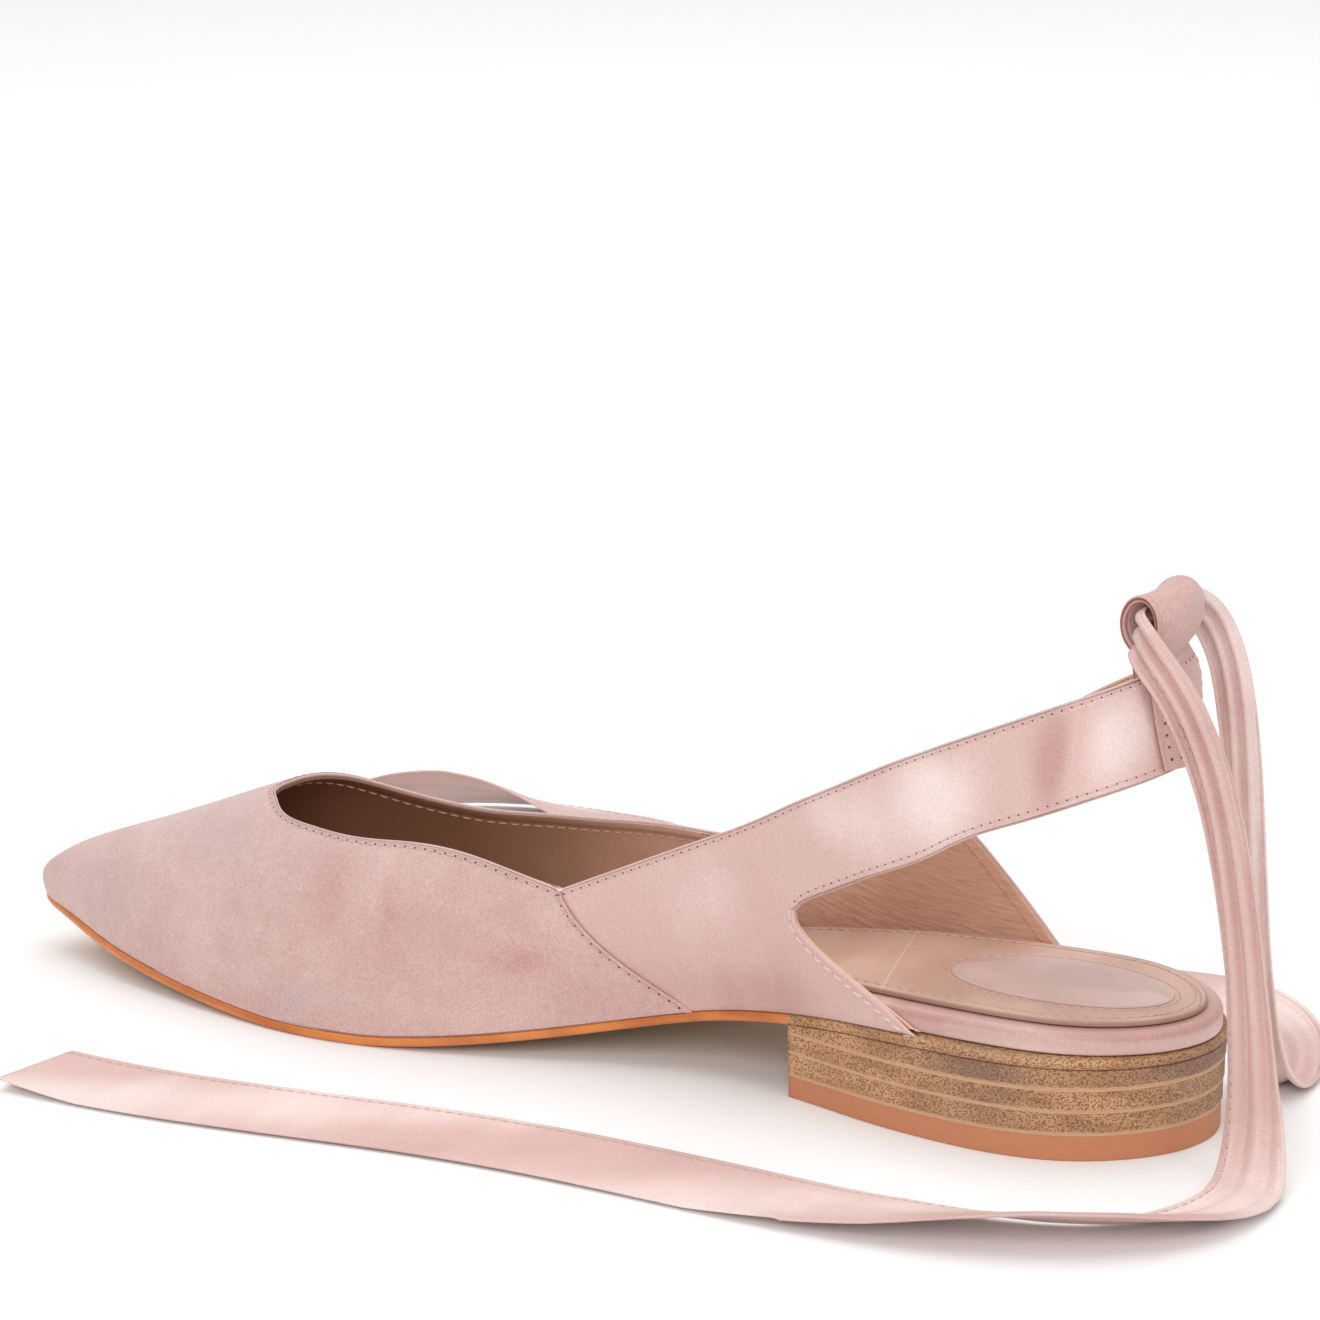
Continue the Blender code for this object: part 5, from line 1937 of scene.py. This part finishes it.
        # Painted sheen and shade on the quarter and its strap.
        mesh.marks["lustre"] = patched(mesh.points, self.lustre)
        mesh.uv = self.weave(mesh.points)
        mesh.placed(f"quarter_{name}", [SATIN], Slot.SATIN, "upper")
        row = sheet.line_inside(top, self.strap_inset, 6)
        sew(f"strap_top_stitches_{name}", *row, self.strap_stitch, Slot.SATIN)
        line, normals = sheet.line_inside(rear, self.rear_inset, 16)
        # White stitches run up the rear edge, and past the fork by a little.
        turn = lengths_along(rear[: self.lower_rows + 1])[-1] + 4
        along = lengths_along(line)
        first, second = along < turn, along >= turn - 1
        sew(f"rear_edge_stitches_{name}", line[first], normals[first], self.rear_stitch, Slot.SATIN)
        sew(f"strap_low_stitches_{name}", line[second], normals[second], self.strap_stitch, Slot.SATIN)

    def weave(self, points: Array) -> Array:
        """The cloth's coordinates: along the strap's slope and across it.

        Args:
            points: the points.

        Returns:
            Two coordinates a point.
        """
        slope = math.radians(self.weave_slope)
        round_heel = np.arctan2(points[:, 0], 60 - points[:, 1])
        along = -points[:, 1] * math.cos(slope) + points[:, 2] * math.sin(slope) + 8 * round_heel
        return np.stack([along, points[:, 2] * math.cos(slope) + points[:, 1] * math.sin(slope)], axis=1)

    def lining_piece(self, grids: dict) -> None:
        """The tan lining, from the toe round to the strap's back, and its stitches.

        Args:
            grids: the vamp's, quarter's and strap's grids of each side.
        """
        parts, tops = [], []
        for side in Side:
            vamp, quarter, strap = grids[side]
            vamp = vamp.copy()
            # The vamp's last columns ease into the step at the seam.
            ease = smoothstep(np.linspace(0, 1, self.seam_ease + 1))[1:]
            vamp[-self.seam_ease :] += (quarter[0] - vamp[-1])[None] * ease[:, None, None]
            parts += [(np.concatenate([vamp, quarter[1:]]), side)]
            parts += [(np.concatenate([[quarter[-1][self.lower_rows :]], strap]), side)]
            tops.append(np.concatenate([grids[side][0][self.throat :, -1], quarter[1:, -1]]))
        sheet = Sheet.of(*parts)
        behind = np.where(sheet.points[:, 1] > self.seam_station, self.suede, self.satin)
        sheet = sheet.moved(patched(sheet.points, self.dents)).moved(-behind - self.lining_gap)
        mesh = sheet.pulled(self.lining_draw).closed(self.lining, squareness=self.lining_squareness)
        mesh.uv = self.weave(mesh.points)
        station = mesh.points[:, 1]
        # Painted shade, deepening towards the toe inside the vamp.
        mesh.marks["depth"] = smoothstep((station - self.dark_from) / self.dark_run)
        mesh.marks["creased"] = 0.15 + 0.85 * smoothstep((self.crease_from - station) / self.crease_run)
        mesh.marks["edge"] = distances(mesh.points, *tops)
        mesh.placed("lining", [LINING], Slot.SOCK_LEATHER, "upper")
        inner = sheet.moved(-self.lining)
        for side, top in zip(Side, tops):
            _, quarter, strap = grids[side]
            rows = {"top": np.concatenate([top, strap[:, -1]]), "rear": quarter[-1][2 : self.lower_rows + 1]}
            for name, edge in rows.items():
                line, normals = inner.line_inside(edge, self.lining_inset, 6)
                name = f"lining_{name}_stitches_{side.name.lower()}"
                sew(name, line, -normals, self.lining_stitch, Slot.SOCK_LEATHER)


def crowded(line: Array, count: int) -> Array:
    """A line's points spaced anew, a little closer towards both its ends.

    Args:
        line: the points.
        count: how many steps there are between the new ones.

    Returns:
        The new points.
    """
    share = np.linspace(0, 1, count + 1)
    share = 0.35 * share + 0.65 * (1 - np.cos(math.pi * share)) / 2
    return respaced(line, lengths_along(line)[-1] * share)


# ---- tab and ribbon ----


@dataclass(frozen=True)
class BackTab:
    """The doubled suede strip round the strap, whose top is the ribbon's loop."""

    # Columns: outward, height, how far the strip has left the strap's curve.
    profile: Table = (
        (1.25, 0, 0), (1.25, 9, 0), (1.25, 18.6, 0), (0.3, 20.6, 0.1), (1.5, 22.8, 0.3), (2.5, 26, 0.6),
        (1.9, 29.6, 0.9), (-0.6, 32, 1), (-3.4, 31.8, 1), (-5.9, 29.4, 0.9), (-6.7, 26, 0.6),
        (-5.2, 22.8, 0.3), (-2.6, 20.6, 0.1), (-2.7, 18.6, 0), (-2.7, 9, 0), (-2.7, 1.5, 0),
    )
    half_width: float = 10.0
    thickness: float = 1.2
    lean: float = 4.6
    radius: float = 16.0
    loop_radius: float = 30.0
    strap_rise: float = 18.6
    stitch: Stitch = Stitch(2.3, 1.3, 0.14, 0.42, 0.04)
    stitch_inset: float = 1.8
    # Heights over the tab's foot: the side rows' ends, the foot's row and the base's.
    side_rows: tuple[float, float] = (2, 17.4)
    foot_row: float = 1.9
    base_row: float = 18.0
    steps: int = 150
    cells: int = 22

    def point(self, strip: Array, share: float) -> Triple:
        """A point of the strip's middle surface.

        Args:
            strip: a row of the profile.
            share: where across, as a share of the strip's half width.

        Returns:
            The point.
        """
        outward, height, straightness = strip
        radius = self.radius + (self.loop_radius - self.radius) * straightness
        middle = LAST.strap_back_lower[0] + self.lean * min(height / self.strap_rise, 1) + radius
        turn = share * self.half_width / radius
        x = (radius + outward) * math.sin(turn)
        station = middle - (radius + outward) * math.cos(turn)
        return x, station, LAST.strap_back_lower[3] + height

    def build(self) -> None:
        """The strip's two layers and its stitches."""
        strips = Spline.path(self.profile)(np.linspace(0, 1, self.steps))
        shares = np.linspace(-1, 1, self.cells + 1)
        grid = np.array([[self.point(strip, share) for share in shares] for strip in strips])
        sheet = Sheet.of((grid, LATERAL))
        half = self.thickness / 2
        for name, start in (("back_tab_outer", half), ("back_tab_inner", -0.03)):
            mesh = sheet.moved(start).closed(half - 0.03, round_steps=3)
            mesh.marks["seam"] = distances(mesh.points, grid[:, 0], grid[:, -1])
            mesh.marks["topline"] = np.full(len(mesh.points), 9)
            # The whole tab takes half of the darker rosy tone.
            mesh.marks["rubbed"] = np.full(len(mesh.points), 0.5)
            mesh.placed(name, [SUEDE], Slot.SUEDE, "back_tab")
        self.stitches(sheet.moved(half))

    def stitches(self, face: Sheet) -> None:
        """Rows inside both edges of the tab, along its foot and across the loop's base.

        Args:
            face: the tab's outer face.
        """
        inner = 1 - self.stitch_inset / self.half_width
        rows = {}
        for name, share in (("left", -inner), ("right", inner)):
            rows[name] = [(height, share) for height in np.linspace(*self.side_rows, 30)]
        for name, height in (("foot", self.foot_row), ("base", self.base_row)):
            rows[name] = [(height, share) for share in np.linspace(-inner, inner, 40)]
        for name, places in rows.items():
            line = np.array([self.point((self.profile[0][0], height, 0), at) for height, at in places])
            sew(f"tab_stitches_{name}", *face.nearest(line), self.stitch, Slot.SUEDE)


@dataclass(frozen=True)
class AnkleRibbon:
    """The satin ribbon: from the middle of the loop down behind the heel and along the floor."""

    width: float = 24.0
    cloth: float = 0.5
    floor_height: float = 0.8
    spacing: float = 1.4
    cells: int = 20
    # How the gathered stretches are pleated, and how the banked ones sway.
    pleats: float = 2.5
    pleat_depth: float = 1.5
    pleat_drift: float = 0.05
    sway_length: float = 13.0
    sway_lean: float = 2.2
    hem_start: int = 14
    hem_inset: float = 2.0
    hem_stitch: Stitch = Stitch(2.4, 1.7, 0.14, 0.18)
    # Columns: distance out, station, height, width, rise of its width in degrees.
    medial_hang: Table = (
        (0.4, 13.6, 100.8, 8.2, 90), (6, 14.2, 100.8, 8, 90), (11, 13.8, 100.8, 8, 82),
        (15, 10.6, 98.6, 7.6, 56), (16.6, 5.2, 93.4, 7.4, 30), (16.8, 0, 85.4, 7.4, 12),
        (16.4, -4.8, 73, 7.6, 2), (16, -8.6, 56, 8, 0), (15.8, -11.4, 38, 8.8, 0),
        (16.2, -13.6, 20, 10.6, 0), (18.6, -15.2, 7.4, 12.8, 0), (23.8, -16.4, 1.9, 14.2, 0),
    )
    lateral_hang: Table = (
        (0.4, 13.6, 100.8, 8.2, 90), (6, 14.2, 100.8, 8, 90), (11.4, 14.4, 100.8, 8, 82),
        (16.2, 12.6, 98.6, 7.6, 56), (18.8, 9.8, 92.6, 7.4, 28), (19.8, 7.4, 83, 7.4, 8),
        (20.2, 5.6, 69, 7.6, 0), (20.4, 4.2, 52, 8, 0), (20.6, 3, 34, 9, 0), (21.6, 2, 18, 10.8, 0),
        (24.8, 1.2, 7, 12.8, 0), (31.2, 1, 1.9, 14.2, 0),
    )
    # Columns: distance out, station, width, rise of its width in degrees.
    medial_floor: Table = (
        (31.6, -17, 15, 4), (40.6, -15.6, 16, 10), (49.6, -11.4, 17, 18), (57.8, -4, 18, 24),
        (64.2, 7, 19.2, 24), (68.4, 20.4, 20.4, 18), (70.6, 35.4, 21.6, 10), (71.2, 52, 23, 4),
        (70.8, 71, 24, 0), (70.2, 93, 24, 0), (70.6, 116, 24, 0), (72.8, 139, 24, 0), (76.2, 161, 24, 0),
        (79.2, 182, 24, 0), (80.6, 201, 24, 0), (80.2, 219, 24, 4),
    )
    lateral_floor: Table = (
        (40.2, 2.4, 15.2, 4), (49, 6, 16.2, 10), (56.4, 12.6, 17.4, 16), (61.6, 22, 18.6, 18),
        (64.4, 34.4, 20, 14), (65.2, 49, 21.6, 8), (64.6, 65, 23, 2), (63.4, 83, 24, 0), (62.2, 104, 24, 0),
        (60.8, 125, 24, 0), (58.4, 145, 24, 0), (54.6, 164, 24, 0), (50.2, 182, 23.4, 6),
        (46.8, 199, 22.4, 16), (46.4, 216, 21.2, 28), (51.4, 232, 20.4, 38), (62, 244.6, 20, 42),
        (76.6, 250.8, 20, 43), (92.2, 248.8, 20, 42), (104.6, 239.8, 20.4, 38), (111.4, 226.6, 21.2, 28),
        (113.4, 211.6, 22.4, 16), (112.8, 195, 23.4, 6), (111.6, 176, 24, 0), (110.4, 157, 24, 0),
        (110, 138, 24, 0), (110.8, 120, 24, 4),
    )

    def tables(self, side: Side) -> tuple[Table, Table]:
        """The hanging and the lying stretch of one half."""
        if side is MEDIAL:
            return self.medial_hang, self.medial_floor
        return self.lateral_hang, self.lateral_floor

    def marks(self, side: Side) -> Array:
        """The chosen points of one half.

        Args:
            side: which half.

        Returns:
            Each point with the ribbon's width and rise there.
        """
        hang, floor = self.tables(side)
        rows = [(side.value * out, *rest) for out, *rest in hang]
        for out, station, width, rise in floor:
            lift = width / 2 * math.sin(math.radians(rise))
            rows.append((side.value * out, station, self.floor_height + lift, width, rise))
        return np.array(rows)

    def build(self, side: Side) -> None:
        """One half of the ribbon with its hem's stitches.

        Args:
            side: which half.
        """
        name = side.name.lower()
        marks = self.marks(side)
        route = Spline.path(marks[:, :3])
        at = np.linspace(0, 1, round(lengths_along(marks[:, :3])[-1] / self.spacing))
        middle = route(at)
        width, rise = (np.interp(at, route.knots, marks[:, k])[:, None] for k in (3, 4))
        along = unit(np.gradient(middle, axis=0))
        level = unit(side.value * np.cross(along, (0, 0, 1)) + 1e-6)
        level[at < route.knots[len(self.tables(side)[0]) - 1]] = (0, -1, 0)
        angle = np.radians(rise)
        across = unit(level) * np.cos(angle) + np.array([0, 0, 1]) * np.sin(angle)
        across = unit(across - along * np.sum(across * along, axis=1)[:, None])
        facing = unit(np.cross(along, across))
        run = lengths_along(middle)[:, None]
        shares = np.linspace(-0.5, 0.5, self.cells + 1)
        gather = np.clip(1 - width / self.width, 0, 1)
        turn = 2 * math.pi * self.pleats * (shares + 0.5) + self.pleat_drift * run
        sway = 0.5 * (1 - gather) * np.sin(run / self.sway_length + self.sway_lean * shares)
        offset = self.pleat_depth * gather * np.sin(turn) + sway * (rise > 4)
        grid = middle[:, None] + across[:, None] * (width * shares)[..., None]
        grid = grid + facing[:, None] * offset[..., None]
        grid[..., 2] = np.maximum(grid[..., 2], self.floor_height)
        sheet = Sheet.of((grid, side)).moved(self.cloth / 2)
        mesh = sheet.closed(self.cloth, round_steps=3)
        mesh.marks["edge"] = distances(mesh.points, grid[:, 0], grid[:, -1])
        # Painted sheen and shade in broad bands along the ribbon.
        mesh.marks["lustre"] = 0.15 + 0.22 * np.sin(mesh.points[:, 1] / 17 + mesh.points[:, 0] / 9)
        ribbon = mesh.placed(f"ribbon_{name}_satin", [SATIN], Slot.SATIN, f"ribbon_{name}")
        row = sheet.line_inside(grid[self.hem_start :, 0], self.hem_inset)
        hem = sew(f"ribbon_{name}_hem_stitches", *row, self.hem_stitch, Slot.SATIN)


# ---- the studio ----


@dataclass(frozen=True)
class Studio:
    """A pale floor, soft light and the camera."""

    target: Triple = (-0.0057, 0.0787, 0.0803)
    azimuth: float = -60.81
    elevation: float = 15.375
    distance: float = 1.0
    lens: float = 138.4
    surround: float = 0.46

    # Columns: name, azimuth, elevation, distance, width, height, power.
    softboxes: tuple[tuple[str | float, ...], ...] = (
        ("top", 119, 78, 2.3, 3.2, 3.2, 42),
        ("key", -72, 30, 1.8, 1, 0.8, 12),
        ("side", -15, 34, 1.8, 0.6, 0.9, 2.5),
        ("far", 115, 40, 1.7, 1, 0.6, 3),
    )

    def camera(self) -> None:
        """The camera, looking at the shoe from its medial side and a little behind."""
        data = bpy.data.cameras.new("camera")
        data.lens = self.lens
        data.sensor_width = 36
        data.clip_start = 0.01
        bpy.context.scene.camera = self.aimed(data, self.azimuth, self.elevation, self.distance)

    def aimed(self, data: bpy.types.ID, azimuth: float, elevation: float, distance: float) -> Object:
        """An object that looks at the shoe.

        Args:
            data: the camera or light.
            azimuth: its direction round the shoe, in degrees.
            elevation: how high it stands, in degrees.
            distance: how far it is from the shoe.

        Returns:
            The object.
        """
        turn, tilt = math.radians(azimuth), math.radians(elevation)
        back = Vector((math.sin(turn) * math.cos(tilt), -math.cos(turn) * math.cos(tilt), math.sin(tilt)))
        aimed = bpy.data.objects.new(data.name, data)
        aimed.location = Vector(self.target) + back * distance
        aimed.rotation_euler = (-back).to_track_quat("-Z", "Y").to_euler()
        bpy.context.scene.collection.objects.link(aimed)
        return aimed

    def floor(self) -> None:
        """A wide pale floor."""
        data = bpy.data.meshes.new("floor")
        corners = [(-1, -1), (1, -1), (1, 1), (-1, 1)]
        data.from_pydata([(6.0 * x, 6.0 * y, 0.0) for x, y in corners], [], [(0, 1, 2, 3)])
        data.materials.append(material_of(Plain("floor_paper", (0.93, 0.93, 0.93), 0.9, 2, 0.004)))
        floor = bpy.data.objects.new("floor", data)
        bpy.context.scene.collection.objects.link(floor)

    def lights(self) -> None:
        """Broad soft lights and a bright, even surround."""
        world = bpy.data.worlds.new("surround")
        world.use_nodes = True
        surround = world.node_tree.nodes["Background"].inputs
        surround["Color"].default_value = (1, 1, 1, 1)
        surround["Strength"].default_value = self.surround
        bpy.context.scene.world = world
        for name, azimuth, elevation, distance, width, height, power in self.softboxes:
            data = bpy.data.lights.new(name, "AREA")
            data.shape = "RECTANGLE"
            data.size, data.size_y = width, height
            data.energy = power
            self.aimed(data, azimuth, elevation, distance)
        bpy.context.scene.view_settings.view_transform = "Standard"


def clear_startup_objects() -> None:
    """Removes what the scene holds besides the frame."""
    kept = set(frame["nodes"].values()) | set(frame["bodies"].values())
    for leftover in list(bpy.data.objects):
        if leftover not in kept:
            bpy.data.objects.remove(leftover, do_unlink=True)


def main() -> None:
    """Builds the studio and then the shoe, piece by piece."""
    logging.basicConfig(level=logging.INFO, format="%(message)s")
    clear_startup_objects()
    studio = Studio()
    studio.camera()
    ribbon = AnkleRibbon()
    for side in Side:
        ribbon.build(side)
    bottom = Bottom()
    bottom.outsole()
    bottom.heel()
    bottom.board()
    bottom.sock()
    Upper().build()
    BackTab().build()
    studio.floor()
    studio.lights()


if __name__ == "__main__":
    main()
